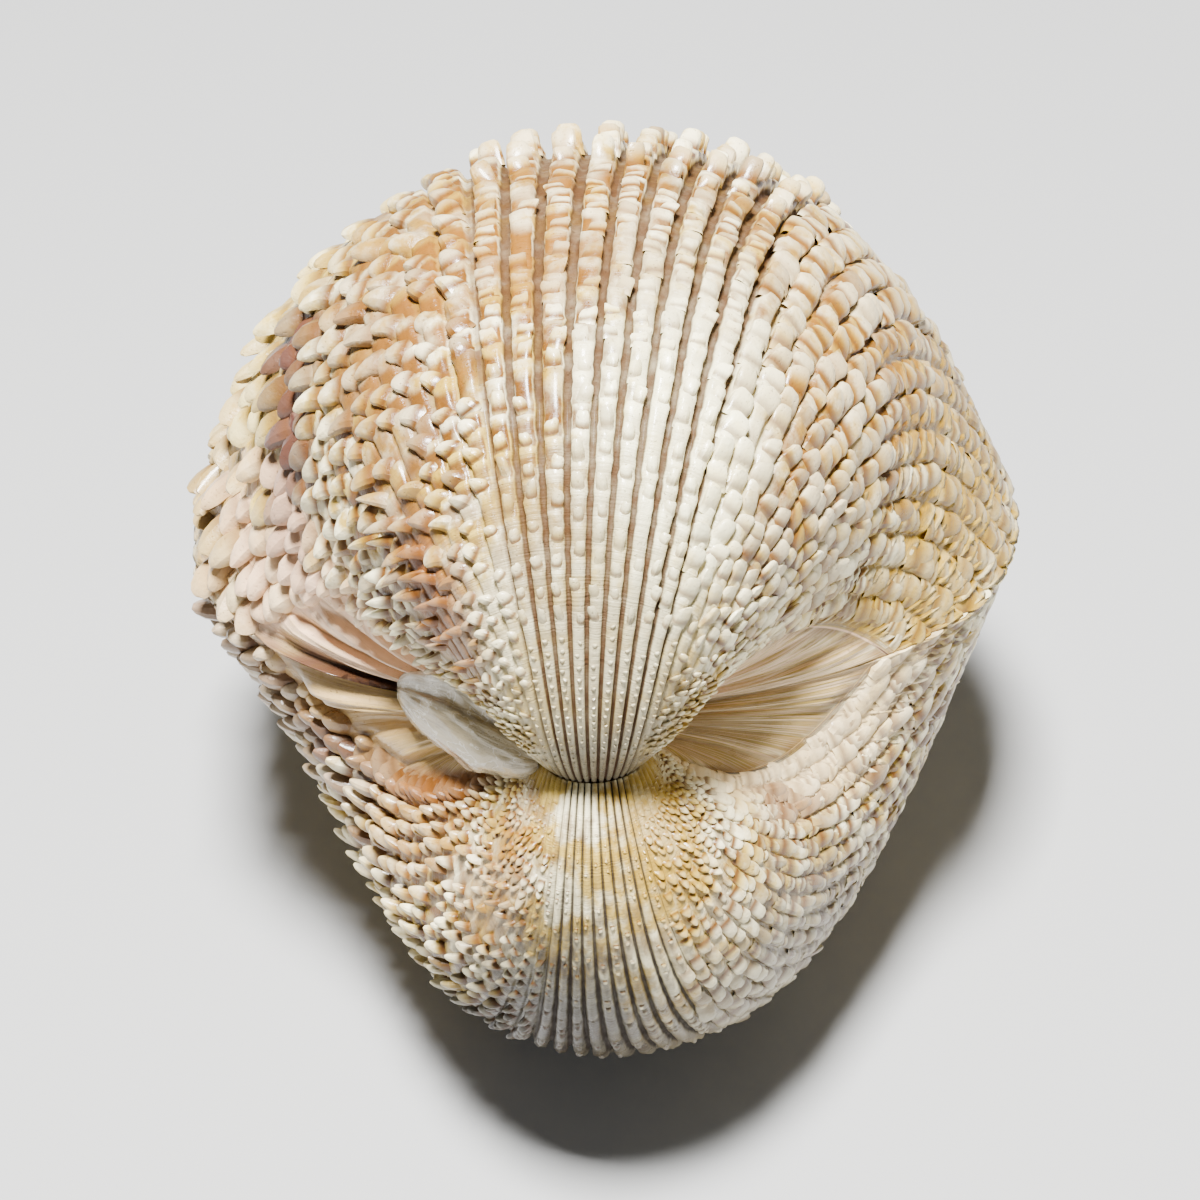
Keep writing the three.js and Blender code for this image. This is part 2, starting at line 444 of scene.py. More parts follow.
@dataclass(frozen=True)
class Zones:
    """Where each kind of scale grows: limits by rib number, positive to the rear, and by turn."""

    frill_rib: int = -9
    shield_rib: int = -5
    rear_rib: int = 5
    spine_rib: int = 9
    stud_rib: int = 14
    upper_frill_turn: float = 1.05
    lower_frill_turn: float = 1.9
    rear_turn: float = 2.45
    spine_turn: float = 1.7
    tongue_turn: float = 0.85
    stud_turn: float = 1.0
    shield_turn: float = 2.2
    bead_turn: float = 2.25
    smooth_turn: float = 1.4
    hook_turn: float = 1.6
    lump_turn: float = 1.05
    last_turn: float = 2.98


@dataclass(frozen=True)
class Columns:
    """The columns of points that run from a valve's margin to its beak, in order round the oval."""

    around: np.ndarray
    station: np.ndarray
    number: np.ndarray
    ribbed: np.ndarray


@dataclass
class Crowd:
    """Some of a valve's scales, as arrays with a row for every scale, and their source of chance."""

    places: list[tuple[int, float, ScaleKind]]
    source: np.random.Generator

    def __post_init__(self) -> None:
        """Lists the scales' rib numbers, turns and forms."""
        self.number = np.array([place[0] for place in self.places], float)
        self.turn = np.array([place[1] for place in self.places])
        self.forms = [SCALE_FORMS[place[2]] for place in self.places]

    def of(self, key: str) -> np.ndarray:
        """Lists one number of the form of every scale."""
        return np.array([getattr(form, key) for form in self.forms])[:, None]

    def chance(self, low: float, high: float, width: int = 1) -> np.ndarray:
        """Draws numbers for every scale."""
        return self.source.uniform(low, high, (len(self.places), width))

    def vary(self, amount: float) -> np.ndarray:
        """Draws a factor near 1 for every scale."""
        return self.chance(1.0 - amount, 1.0 + amount)

    def grown(self, size: np.ndarray) -> np.ndarray:
        """Gives how large every scale is where the valve has a given size."""
        return (np.minimum(size, self.of("full")) / self.of("full")) ** self.of("growth")

    def near_middle(self, start: float, end: float) -> np.ndarray:
        """Gives how far scales that turn aside lie from one rib number towards a lower one."""
        return (self.of("aside") > 0.0) * ramp(self.number, start, end)[:, None]


@dataclass(frozen=True)
class Stand:
    """Where scales stand: their places, the directions they are built in and their ribs' widths."""

    around: np.ndarray
    base: np.ndarray
    out: np.ndarray
    ahead: np.ndarray
    across: np.ndarray
    pitch: np.ndarray
    rearward: np.ndarray


@dataclass(frozen=True)
class Line:
    """The middle lines of scales: length, run along the rib, height over it and slope at each ring."""

    length: np.ndarray
    run: np.ndarray
    lift: np.ndarray
    slope: np.ndarray


@dataclass
class Valve:
    """One valve: the ribbed outside, the lip and the inside, and the scales that stand on the ribs."""

    name: str
    side: Side
    slot: Slot
    node: str
    coil: Coil
    lie: Lie
    ribs: Ribs
    rear_swell: float
    front_swell: float
    seed: int
    zones: Zones = Zones()
    rows: int = 232
    plain_columns: int = 48
    inside_rows: int = 15
    inside_columns: int = 96
    wall: float = 1.6
    hollow_turn: float = 2.0
    beak_turn: float = 3.125
    scale_sides: int = 12
    sharp_edge: float = math.radians(31.0)
    places: list[tuple[int, float, ScaleKind]] = field(default_factory=list)
    pieces: list[bpy.types.Object] = field(default_factory=list)

    def turns(self) -> np.ndarray:
        """Spaces the rows from the margin to the beak, closer where the valve is small.

        Returns:
            The turn of each row.
        """
        fine = np.linspace(0.0, self.beak_turn, 2000)
        weight = np.cumsum(self.coil.shrink(fine) ** 0.62)
        share = (weight - weight[0]) / (weight[-1] - weight[0])
        return np.interp(np.linspace(0.0, 1.0, self.rows), share, fine)

    def smooth(self, around: np.ndarray, turn: np.ndarray, wall: float = 0.0) -> np.ndarray:
        """Places points on this valve's smooth form."""
        return self.coil.point(around, turn, self.rear_swell, self.front_swell, wall)

    def outward(self, around: np.ndarray, turn: np.ndarray) -> np.ndarray:
        """Finds the directions that point out of the smooth form.

        Args:
            around: Places round the oval.
            turn: Turns from the margin.

        Returns:
            Unit vectors with a last axis of three.
        """
        step = 1e-3
        across = self.smooth(around + step, turn) - self.smooth(around - step, turn)
        along = self.smooth(around, turn + step) - self.smooth(around, turn - step)
        out = np.cross(across, along)
        return out / np.linalg.norm(out, axis=-1, keepdims=True)

    def hinge_folds(self, around: np.ndarray, turn: np.ndarray) -> tuple[np.ndarray, np.ndarray]:
        """Gives the stacked growth folds on the plain stretch at the hinge.

        Args:
            around: Places round the oval.
            turn: Turns from the margin.

        Returns:
            Heights in millimetres on a valve of full size, and how deep each point lies in a crease, 0 to 1,
            scaled to the painted shade that the finish lays there.
        """
        folds, boldness = (4.6, 0.62) if self.side is Side.UP else (3.2, 1.0)
        wander = 0.22 * ripple(around, turn, (1.6, 0.9), self.seed + 5)
        wave = folds * (1.0 - np.exp(-0.85 * turn)) + wander
        step = wave - np.floor(wave)
        front = ramp(np.cos(around), -0.1, 0.4)
        bold = (0.8 + 0.25 * ripple(around, turn, (0.9, 0.4), self.seed + 6)) * (1.0 - 0.6 * front)
        roll = ramp(step, 0.0, 0.7) * ramp(step, 1.0, 0.84)
        striae = 0.04 * ripple(0.25 * around, turn, (0.5, 0.03), self.seed + 7)
        crumple = 0.08 * ripple(around, turn, (0.3, 0.1), self.seed + 8)
        height = boldness * bold * (2.1 * roll - 0.8) + striae + crumple
        return height, ramp(roll, 0.4, 0.0) * (0.46 - 0.3 * front)

    def relief(
        self, columns: Columns, around: np.ndarray, turn: np.ndarray, cut: np.ndarray, step: np.ndarray
    ) -> np.ndarray:
        """Gives how far the surface stands from the smooth form.

        Args:
            columns: The columns of points.
            around: Places round the oval.
            turn: Turns from the margin.
            cut: Height across the rib, 0 on the groove's floor and 1 on the crest.
            step: Place between one scale, at 0, and the next, at 1.

        Returns:
            Heights in millimetres.
        """
        size = np.maximum(self.coil.shrink(turn), LEAST_SIZE)
        lift, groove = self.ribs.heights(columns.number)
        swelling = 0.3 * (1.0 - step) ** 2 - 0.28 * ramp(step, 0.35, 1.0)
        swelling = swelling * ramp(turn, 2.5, 2.0) + 0.08 * ripple(around, turn, (0.06, 0.03), self.seed)
        bold = columns.ribbed * self.ribs.strength(around)
        height = bold * (cut * (lift + swelling + groove) - groove)
        height = height + (1.0 - columns.ribbed) * (self.hinge_folds(around, turn)[0] - 0.1)
        pauses = ((0.33, 0.1, 0.02), (0.72, 0.14, 0.02), (1.12, 0.1, 0.015))
        rings = sum(depth * bell(turn, middle, width) for middle, depth, width in pauses)
        return size * (height - rings + 0.05 * ripple(around, turn, (0.9, 0.5), self.seed + 1))

    def segments(self, turn: np.ndarray) -> tuple[np.ndarray, np.ndarray]:
        """Finds where rows lie between the scales of every rib.

        Args:
            turn: The rows' turns.

        Returns:
            The place from one scale to the next, and each stretch's own chance, a column to a rib.
        """
        step = np.zeros((len(turn), len(self.ribs.numbers())))
        chance = np.zeros(step.shape)
        source = np.random.default_rng(self.seed + 40)
        for column, number in enumerate(self.ribs.numbers()):
            stops = np.array([0.0] + [place[1] for place in self.places if place[0] == number] + [3.3])
            index = np.clip(np.searchsorted(stops, turn, side="right") - 1, 0, len(stops) - 2)
            step[:, column] = (turn - stops[index]) / (stops[index + 1] - stops[index])
            chance[:, column] = source.uniform(0.0, 1.0, len(stops))[index]
        return step, chance

    def columns(self) -> Columns:
        """Sets out the columns: several across every rib, then those of the plain stretch.

        Returns:
            Their places round the oval and across the rib, the ribs' numbers, and 1 on ribs and 0 off them.
        """
        ribs = self.ribs
        numbers, stations = ribs.numbers(), np.array(ribs.stations)
        stretch = 2.0 * math.pi - (ribs.end() - ribs.start())
        plain = ribs.end() + stretch * np.arange(self.plain_columns) / self.plain_columns
        edge = np.minimum(np.abs(plain - ribs.end()), np.abs(plain - ribs.start() - 2.0 * math.pi))
        on_ribs = ribs.around(numbers[:, None], stations).ravel()
        return Columns(
            around=np.concatenate([on_ribs, plain]),
            station=np.concatenate([np.tile(stations, len(numbers)), np.full(len(plain), 0.5)]),
            number=np.concatenate([np.repeat(numbers, len(stations)), np.full(len(plain), PLAIN_NUMBER)]),
            ribbed=np.concatenate([np.ones(len(on_ribs)), ramp(edge, 0.12, 0.0)]),
        )

    def to_columns(self, found: np.ndarray) -> np.ndarray:
        """Gives each column its rib's numbers, and a half to the plain stretch's columns."""
        plain = np.full((len(found), self.plain_columns), 0.5)
        return np.concatenate([np.repeat(found, len(self.ribs.stations), axis=1), plain], axis=1)

    def frayed(self, columns: Columns, turn: np.ndarray, step: np.ndarray) -> np.ndarray:
        """Moves the ribs' edges in and out, most beside the scales.

        Args:
            columns: The columns of points.
            turn: Turns from the margin.
            step: Place between one scale and the next.

        Returns:
            Places round the oval.
        """
        bulge = bell(step, 0.0, 0.3) + bell(step, 1.0, 0.12)
        fray = 0.07 * ripple(columns.around, turn, (0.09, 0.035), self.seed + 2) + 0.09 * bulge - 0.04
        fray = fray * ramp(turn, 2.6, 1.9) * (np.abs(columns.station) < 0.45)
        return columns.around + columns.station * self.ribs.pitch * fray

    def build_surface(self) -> bpy.types.Object:
        """Makes the outside, the lip and the inside as one piece.

        Returns:
            The piece, with the places that its material reads.
        """
        columns, turn = self.columns(), self.turns()[:, None]
        step, luck = (self.to_columns(found) for found in self.segments(turn[:, 0]))
        crescent = 0.8 * columns.station**2 + 0.5 * (luck - 0.5) * columns.station
        step = np.clip(step + crescent * ramp(turn, 2.4, 1.9), 0.0, 1.0)
        around = self.frayed(columns, turn, step)
        cut = self.ribs.cut(columns.station, columns.number, turn)
        height = self.relief(columns, around, turn, cut, step)
        outer = self.smooth(around, turn) + self.outward(around, turn) * height[..., None]
        outer[..., 2] = np.maximum(outer[..., 2], self.coil.gap / 2)
        lip = self.smooth(around[:1], np.zeros((1, 1)), self.wall * 0.6)
        lip[..., 2] = self.coil.gap / 2
        rows = np.concatenate([lip, outer])
        inside, inside_faces = self.inside()
        faces = grid_faces(rows.shape[0], rows.shape[1], True, self.side is Side.DOWN)
        faces = np.concatenate([faces, inside_faces + rows.shape[0] * rows.shape[1]])
        points = np.concatenate([rows.reshape(-1, 3), inside])
        piece = mesh_piece(f"{self.name}_body", self.lie.place(points, self.side), faces)
        # These marks set where the finish lays soil and painted shade: groove floors and fold creases.
        groove = columns.ribbed * (1.0 - cut) * (1.0 - 0.72 * ramp(np.abs(columns.number), 3.5, 6.5))
        crease = (1.0 - columns.ribbed) * self.hinge_folds(around, turn)[1]
        notes = {
            "place": (around, turn, 0.0),
            "marks": (groove + crease, columns.ribbed, luck),
            "spans": (step, 0.0, 0.0),
        }
        for name, values in notes.items():
            grid = np.stack([np.broadcast_to(value, around.shape) for value in values], axis=-1)
            grid = np.concatenate([grid[:1], grid]).reshape(-1, 3)
            note(piece, name, np.concatenate([grid, np.zeros(inside.shape)]))
        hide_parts(self.node)
        return piece

    def inside(self) -> tuple[np.ndarray, np.ndarray]:
        """Makes the smooth inside, from the lip to the end of the hollow under the beak.

        Returns:
            Its points in millimetres and its faces.
        """
        count = self.inside_columns
        around = np.linspace(0.0, 2.0 * math.pi, count + 1)[:-1]
        turn = np.linspace(0.0, self.hollow_turn, self.inside_rows)[:, None]
        hollow = self.smooth(around, turn, self.wall)
        lip = self.smooth(around, np.zeros((1, 1)), self.wall * 0.55)
        rows = np.concatenate([lip, hollow, hollow[-1:].mean(axis=1, keepdims=True).repeat(count, axis=1)])
        rows[..., 2] = np.maximum(rows[..., 2], self.coil.gap / 2)
        return rows.reshape(-1, 3), grid_faces(rows.shape[0], count, True, self.side is Side.UP)

    def is_smooth(self, number: int, turn: float) -> bool:
        """Tells whether a place lies on the lower valve's middle ribs, where scales are few."""
        return self.side is Side.DOWN and turn > self.zones.smooth_turn and abs(number) < self.zones.rear_rib

    def rear_kind(self, number: int, turn: float) -> ScaleKind:
        """Picks the shape of scale on a rear rib.

        Args:
            number: The rib's number.
            turn: Turn from the margin.

        Returns:
            The kind that grows there.
        """
        zones = self.zones
        if self.side is Side.UP:
            spiny = number >= zones.spine_rib and turn > zones.spine_turn
            return ScaleKind.SPINE if spiny else ScaleKind.TOOTH
        if number == self.ribs.last and turn > zones.tongue_turn:
            return ScaleKind.TONGUE
        return ScaleKind.STUD if number >= zones.stud_rib and turn < zones.stud_turn else ScaleKind.PEG

    def kind_at(self, number: int, turn: float) -> ScaleKind:
        """Picks the shape of scale for a rib and a turn.

        Args:
            number: The rib's number.
            turn: Turn from the margin.

        Returns:
            The kind that grows there.
        """
        zones = self.zones
        frill_turn = zones.upper_frill_turn if self.side is Side.UP else zones.lower_frill_turn
        if number <= zones.frill_rib and turn < frill_turn:
            return ScaleKind.FRILL
        if number >= zones.rear_rib and turn < zones.rear_turn:
            return self.rear_kind(number, turn)
        if number <= zones.shield_rib and turn < zones.shield_turn:
            return ScaleKind.SHIELD
        if turn > zones.bead_turn or self.is_smooth(number, turn):
            return ScaleKind.THORN if abs(number) > zones.rear_rib else ScaleKind.BEAD
        if turn > zones.hook_turn:
            return ScaleKind.HOOK
        return ScaleKind.LUMP if turn > zones.lump_turn else ScaleKind.BLOCK

    def step_after(self, number: int, turn: float, kind: ScaleKind, source: np.random.Generator) -> float:
        """Draws how far down the rib the next scale lies.

        Args:
            number: The rib's number.
            turn: The scale's turn.
            kind: The scale's kind.
            source: The rib's source of chance.

        Returns:
            The turn from this scale to the next.
        """
        form = SCALE_FORMS[kind]
        size = float(self.coil.shrink(np.array(turn)))
        spread = 0.12 if number <= self.zones.frill_rib else form.uneven
        wider = 1.0 + 0.2 * float(ramp(np.array(turn), 0.9, 0.4)) * (kind is ScaleKind.TOOTH)
        closer = 1.0 - 0.4 * float(ramp(np.array(float(number)), 10.0, 4.0)) * (form.aside > 0.0)
        grown = (min(size, form.full) / form.full) ** form.growth
        step = form.spacing * wider * closer * grown * source.uniform(1.0 - spread, 1.0 + spread)
        return step / (self.coil.reach * size * RIB_PATH)

    def set_places(self) -> None:
        """Walks down every rib from margin to beak and sets the scales' places.

        The frills of neighbouring ribs start from the same seed, so they line up across the ribs.
        """
        self.places = []
        for number in self.ribs.numbers().tolist():
            aligned = number <= self.zones.frill_rib
            source = np.random.default_rng(self.seed + (20 if aligned else 100 + number))
            turn = 0.06 if number < self.zones.stud_rib else 0.14
            while turn < self.zones.last_turn:
                kind = self.kind_at(number, turn)
                if source.uniform() > (0.6 if self.is_smooth(number, turn) else 0.05):
                    self.places.append((number, turn, kind))
                turn += self.step_after(number, turn, kind, source)

    def stand_scales(self, crowd: Crowd) -> Stand:
        """Finds where scales stand and which way they point.

        Args:
            crowd: The scales.

        Returns:
            Their places, directions and widths to fill.
        """
        rearward = ramp(crowd.number, 3.0, 8.0) * (1.0 - 0.5 * ramp(crowd.number, 9.0, 18.0))
        stray = (0.3 * crowd.of("uneven") * crowd.chance(-1.0, 1.0))[:, 0]
        aside = crowd.of("aside")[:, 0] * rearward + 0.2 * crowd.chance(-1.0, 1.0)[:, 0]
        around = self.ribs.around(crowd.number) + (stray + 0.14 * aside) * self.ribs.pitch
        turn = crowd.turn
        out = self.outward(around, turn)
        ahead = self.smooth(around, turn - 1e-3) - self.smooth(around, turn + 1e-3)
        ahead /= np.linalg.norm(ahead, axis=-1, keepdims=True)
        half_pitch = self.ribs.pitch / 2
        edges = self.smooth(around + half_pitch, turn) - self.smooth(around - half_pitch, turn)
        pitch = np.linalg.norm(edges, axis=-1, keepdims=True)
        ahead = ahead * np.cos(aside)[:, None] + edges / pitch * np.sin(aside)[:, None]
        base = self.smooth(around, turn)
        return Stand(around, base, out, ahead, np.cross(out, ahead), pitch, rearward[:, None])

    def bend_lines(self, crowd: Crowd, stand: Stand) -> Line:
        """Bends the middle line of every scale, from its root in the rib to its tip.

        Args:
            crowd: The scales.
            stand: Where they stand.

        Returns:
            The lines, in millimetres and radians.
        """
        size = self.coil.shrink(crowd.turn)[:, None]
        grown = crowd.grown(size)
        bold = self.ribs.strength(stand.around)[:, None]
        fade = ramp(crowd.turn, 3.0, 2.7)[:, None] * (0.55 + 0.45 * bold)
        short = 1.0 - 0.45 * crowd.near_middle(10.0, 4.0)
        uneven = 1.0 + crowd.of("uneven") * crowd.chance(-1.0, 1.0)
        length = crowd.of("length") * grown * short * uneven * fade
        lean = crowd.of("lean") * crowd.vary(0.14)
        curl = crowd.of("curl") * crowd.vary(0.3)
        bend = np.where(np.abs(curl - lean) < 0.05, 0.05, curl - lean)
        run = length * (np.sin(lean + bend * ABOVE) - np.sin(lean)) / bend
        lift = length * (np.cos(lean) - np.cos(lean + bend * ABOVE)) / bend
        sunk = np.minimum(RINGS, 0.0) * length
        run, lift = run + sunk * np.cos(lean), lift + sunk * np.sin(lean)
        crest = self.ribs.heights(crowd.number)[0][:, None] * bold * np.maximum(size, LEAST_SIZE)
        lift = lift + crest - 0.25 * crowd.of("thick") * grown
        return Line(length, run, lift, lean + (curl - lean) * ABOVE)

    def shape_scales(self, crowd: Crowd, stand: Stand) -> np.ndarray:
        """Sets the rings of every scale round its middle line, and its tip.

        Args:
            crowd: The scales.
            stand: Where they stand.

        Returns:
            Points of an upper valve in millimetres, a row to each scale.
        """
        line = self.bend_lines(crowd, stand)
        grown = crowd.grown(self.coil.shrink(crowd.turn)[:, None])
        blunt = crowd.of("blunt")
        cap = np.where(RINGS > 0.95, blunt * 0.8, np.where(RINGS > 0.8, 0.55 + 0.45 * blunt, 1.0))
        uneven = crowd.chance(0.92, 1.08, RINGS.shape[1])
        width = crowd.of("root") + (crowd.of("tip") - crowd.of("root")) * ABOVE
        half = 0.5 * stand.pitch * width * cap * uneven * crowd.vary(0.12)
        half = np.minimum(half, 1.3) * (1.0 - 0.3 * crowd.near_middle(9.0, 5.0))
        thickness = crowd.of("thick") + (crowd.of("thin") - crowd.of("thick")) * ABOVE
        deep = 0.5 * grown * thickness * cap * crowd.vary(0.15)
        sway = crowd.chance(-0.16, 0.16) * line.run
        sway = sway + crowd.of("hook") * (0.4 + 0.6 * stand.rearward) * line.length * ABOVE**2
        slant = crowd.chance(-0.4, 0.4)[..., None] * ABOVE[..., None]
        roll = crowd.chance(-0.25, 0.25)[..., None]
        angle = np.radians(np.add.outer((0.0, 90.0, 180.0, 270.0), (12.0, 45.0, 78.0)).ravel())
        power = (2.0 / crowd.of("square"))[..., None]
        wide = (np.sign(np.cos(angle)) * np.abs(np.cos(angle)) ** power) * half[..., None]
        high = (np.sign(np.sin(angle)) * np.abs(np.sin(angle)) ** power) * deep[..., None]
        bow = wide**2 / np.maximum(half[..., None], 1e-4)
        up = high - crowd.of("arch")[..., None] * bow + roll * wide
        forward = crowd.of("cup")[..., None] * bow * ABOVE[..., None] + slant * wide
        run = line.run[..., None] - np.sin(line.slope)[..., None] * up + forward
        lift = line.lift[..., None] + np.cos(line.slope)[..., None] * up
        points = (
            stand.base[:, None, None]
            + stand.ahead[:, None, None] * run[..., None]
            + stand.out[:, None, None] * lift[..., None]
            + stand.across[:, None, None] * (wide + sway[..., None])[..., None]
        )
        points = points.reshape(len(points), -1, 3)
        points = np.concatenate([points, points[:, -self.scale_sides :].mean(axis=1, keepdims=True)], axis=1)
        points[..., 2] = np.maximum(points[..., 2], self.coil.gap / 2 + 0.01)
        return points

    def build_scales(self, kinds: tuple[ScaleKind, ...], name: str) -> bpy.types.Object:
        """Makes the scales of some kinds, each a thick, bent body rooted in its rib.

        Args:
            kinds: The kinds to make.
            name: The piece's name.

        Returns:
            One piece that holds them all.
        """
        source = np.random.default_rng(self.seed + 30 + len(kinds))
        crowd = Crowd([place for place in self.places if place[2] in kinds], source)
        stand = self.stand_scales(crowd)
        points = self.shape_scales(crowd, stand)
        shift = (np.arange(len(points)) * points.shape[1])[:, None, None]
        faces = (self.scale_faces(RINGS.shape[1])[None] + shift).reshape(-1, 4)
        piece = mesh_piece(name, self.lie.place(points.reshape(-1, 3), self.side), faces)
        piece.data.set_sharp_from_angle(angle=self.sharp_edge)
        tip = np.concatenate([np.repeat(ABOVE[0], self.scale_sides), [1.0]])
        chance = crowd.chance(0.0, 1.0)
        notes = {
            "place": (stand.around[:, None], crowd.turn[:, None], tip),
            "marks": (0.0, 1.0, chance),
            "spans": (0.0, 0.0, 0.0),
        }
        for key, values in notes.items():
            grid = np.stack([np.broadcast_to(value, points.shape[:2]) for value in values], axis=-1)
            note(piece, key, grid.reshape(-1, 3))
        return piece

    def scale_faces(self, rings: int) -> np.ndarray:
        """Lists the faces of one scale: its sides, and a fan over its tip.

        Args:
            rings: The number of its rings.

        Returns:
            Four corner numbers to a row.
        """
        sides = grid_faces(rings, self.scale_sides, True, self.side is Side.UP)
        hub = rings * self.scale_sides
        ring = np.arange(self.scale_sides) + hub - self.scale_sides
        fan = np.stack([ring, np.roll(ring, -1), np.full(len(ring), hub), np.full(len(ring), hub)], -1)
        if self.side is Side.UP:
            fan = fan[:, [1, 0, 2, 3]]
        return np.concatenate([sides, fan])

    def build(self) -> list[bpy.types.Object]:
        """Makes the valve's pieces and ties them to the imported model.

        Returns:
            The body, the low scales and the high scales.
        """
        self.set_places()
        low = (ScaleKind.LUMP, ScaleKind.HOOK, ScaleKind.BEAD, ScaleKind.FRILL, ScaleKind.THORN)
        high = tuple(kind for kind in ScaleKind if kind not in low)
        self.pieces = [
            self.build_surface(),
            self.build_scales(low, f"{self.name}_low_scales"),
            self.build_scales(high, f"{self.name}_high_scales"),
        ]
        for piece in self.pieces:
            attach(piece, "root")
        return self.pieces

    def dress(self, finish: "ShellFinish") -> None:
        """Gives the valve's pieces their finish.

        Args:
            finish: The valve's finish.
        """
        material = finish.build()
        for piece in self.pieces:
            piece.data.materials.append(material)


@dataclass
class Ligament:
    """The dried band in the furrow behind the beaks, with a rolled upper edge and fine wrinkles."""

    coil: Coil
    lie: Lie
    far: tuple[float, float] = (-12.2, 3.0)
    near: tuple[float, float] = (-3.0, -4.6)
    half_depth: float = 2.3
    half_width: float = 2.8
    rings: int = 90
    sides: int = 72
    pieces: list[bpy.types.Object] = field(default_factory=list)

    def swelling(self, along: np.ndarray, angle: np.ndarray) -> np.ndarray:
        """Gives the band's size at each point, with its rolled edge and wrinkles.

        Args:
            along: Share of the way from the far end to the beaks.
            angle: Angle round the band.

        Returns:
            Factors on the band's half depth and half width.
        """
        swell = np.maximum(np.sin(math.pi * (0.015 + 0.97 * along)), 0.0) ** 0.5
        roll = 0.16 * bell(angle, 1.75, 0.3) - 0.13 * bell(angle, 2.25, 0.18) + 0.1 * bell(angle, 3.3, 0.5)
        wrinkles = 0.035 * ripple(along, angle, (0.22, 0.5), 4) + 0.02 * ripple(along, angle, (0.5, 0.16), 3)
        return swell * (0.95 + 0.06 * ripple(along, angle, (0.4, 2.2), 2) + roll + wrinkles)

    def build(self) -> list[bpy.types.Object]:
        """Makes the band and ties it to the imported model.

        Returns:
            The band, alone in a list.
        """
        along = np.linspace(0.0, 1.0, self.rings)[:, None]
        angle = (np.arange(self.sides) / self.sides * 2.0 * math.pi)[None]
        size = self.swelling(along, angle)
        x = self.far[0] + (self.near[0] - self.far[0]) * along + 0.0 * angle
        middle = self.far[1] + (self.near[1] - self.far[1]) * along
        y = middle + self.half_depth * size * np.cos(angle)
        z = self.half_width * size * np.sin(angle)
        rows = np.stack([x, y, z], -1)
        count = self.rings * self.sides
        ring = np.arange(self.sides)
        after = (ring + 1) % self.sides
        last = count - self.sides
        faces = [grid_faces(self.rings, self.sides, True, True)]
        for first, second, hub in ((after, ring, count), (last + ring, last + after, count + 1)):
            hubs = np.full(self.sides, hub)
            faces.append(np.stack([first, second, hubs, hubs], -1))
        points = np.concatenate([rows.reshape(-1, 3), rows.mean(axis=1)[[0, -1]]])
        piece = mesh_piece("ligament_band", self.lie.place(points, Side.UP), np.concatenate(faces))
        place = np.zeros(points.shape)
        place[:count, 0] = np.broadcast_to(angle, (self.rings, self.sides)).ravel()
        place[:count, 1] = np.broadcast_to(along, (self.rings, self.sides)).ravel()
        note(piece, "place", place)
        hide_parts("ligament")
        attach(piece, "root")
        self.pieces = [piece]
        return self.pieces

    def dress(self, finish: "LigamentFinish") -> None:
        """Gives the band its finish."""
        for piece in self.pieces:
            piece.data.materials.append(finish.build())


Colour = tuple[float, float, float]
Output = bpy.types.NodeSocket


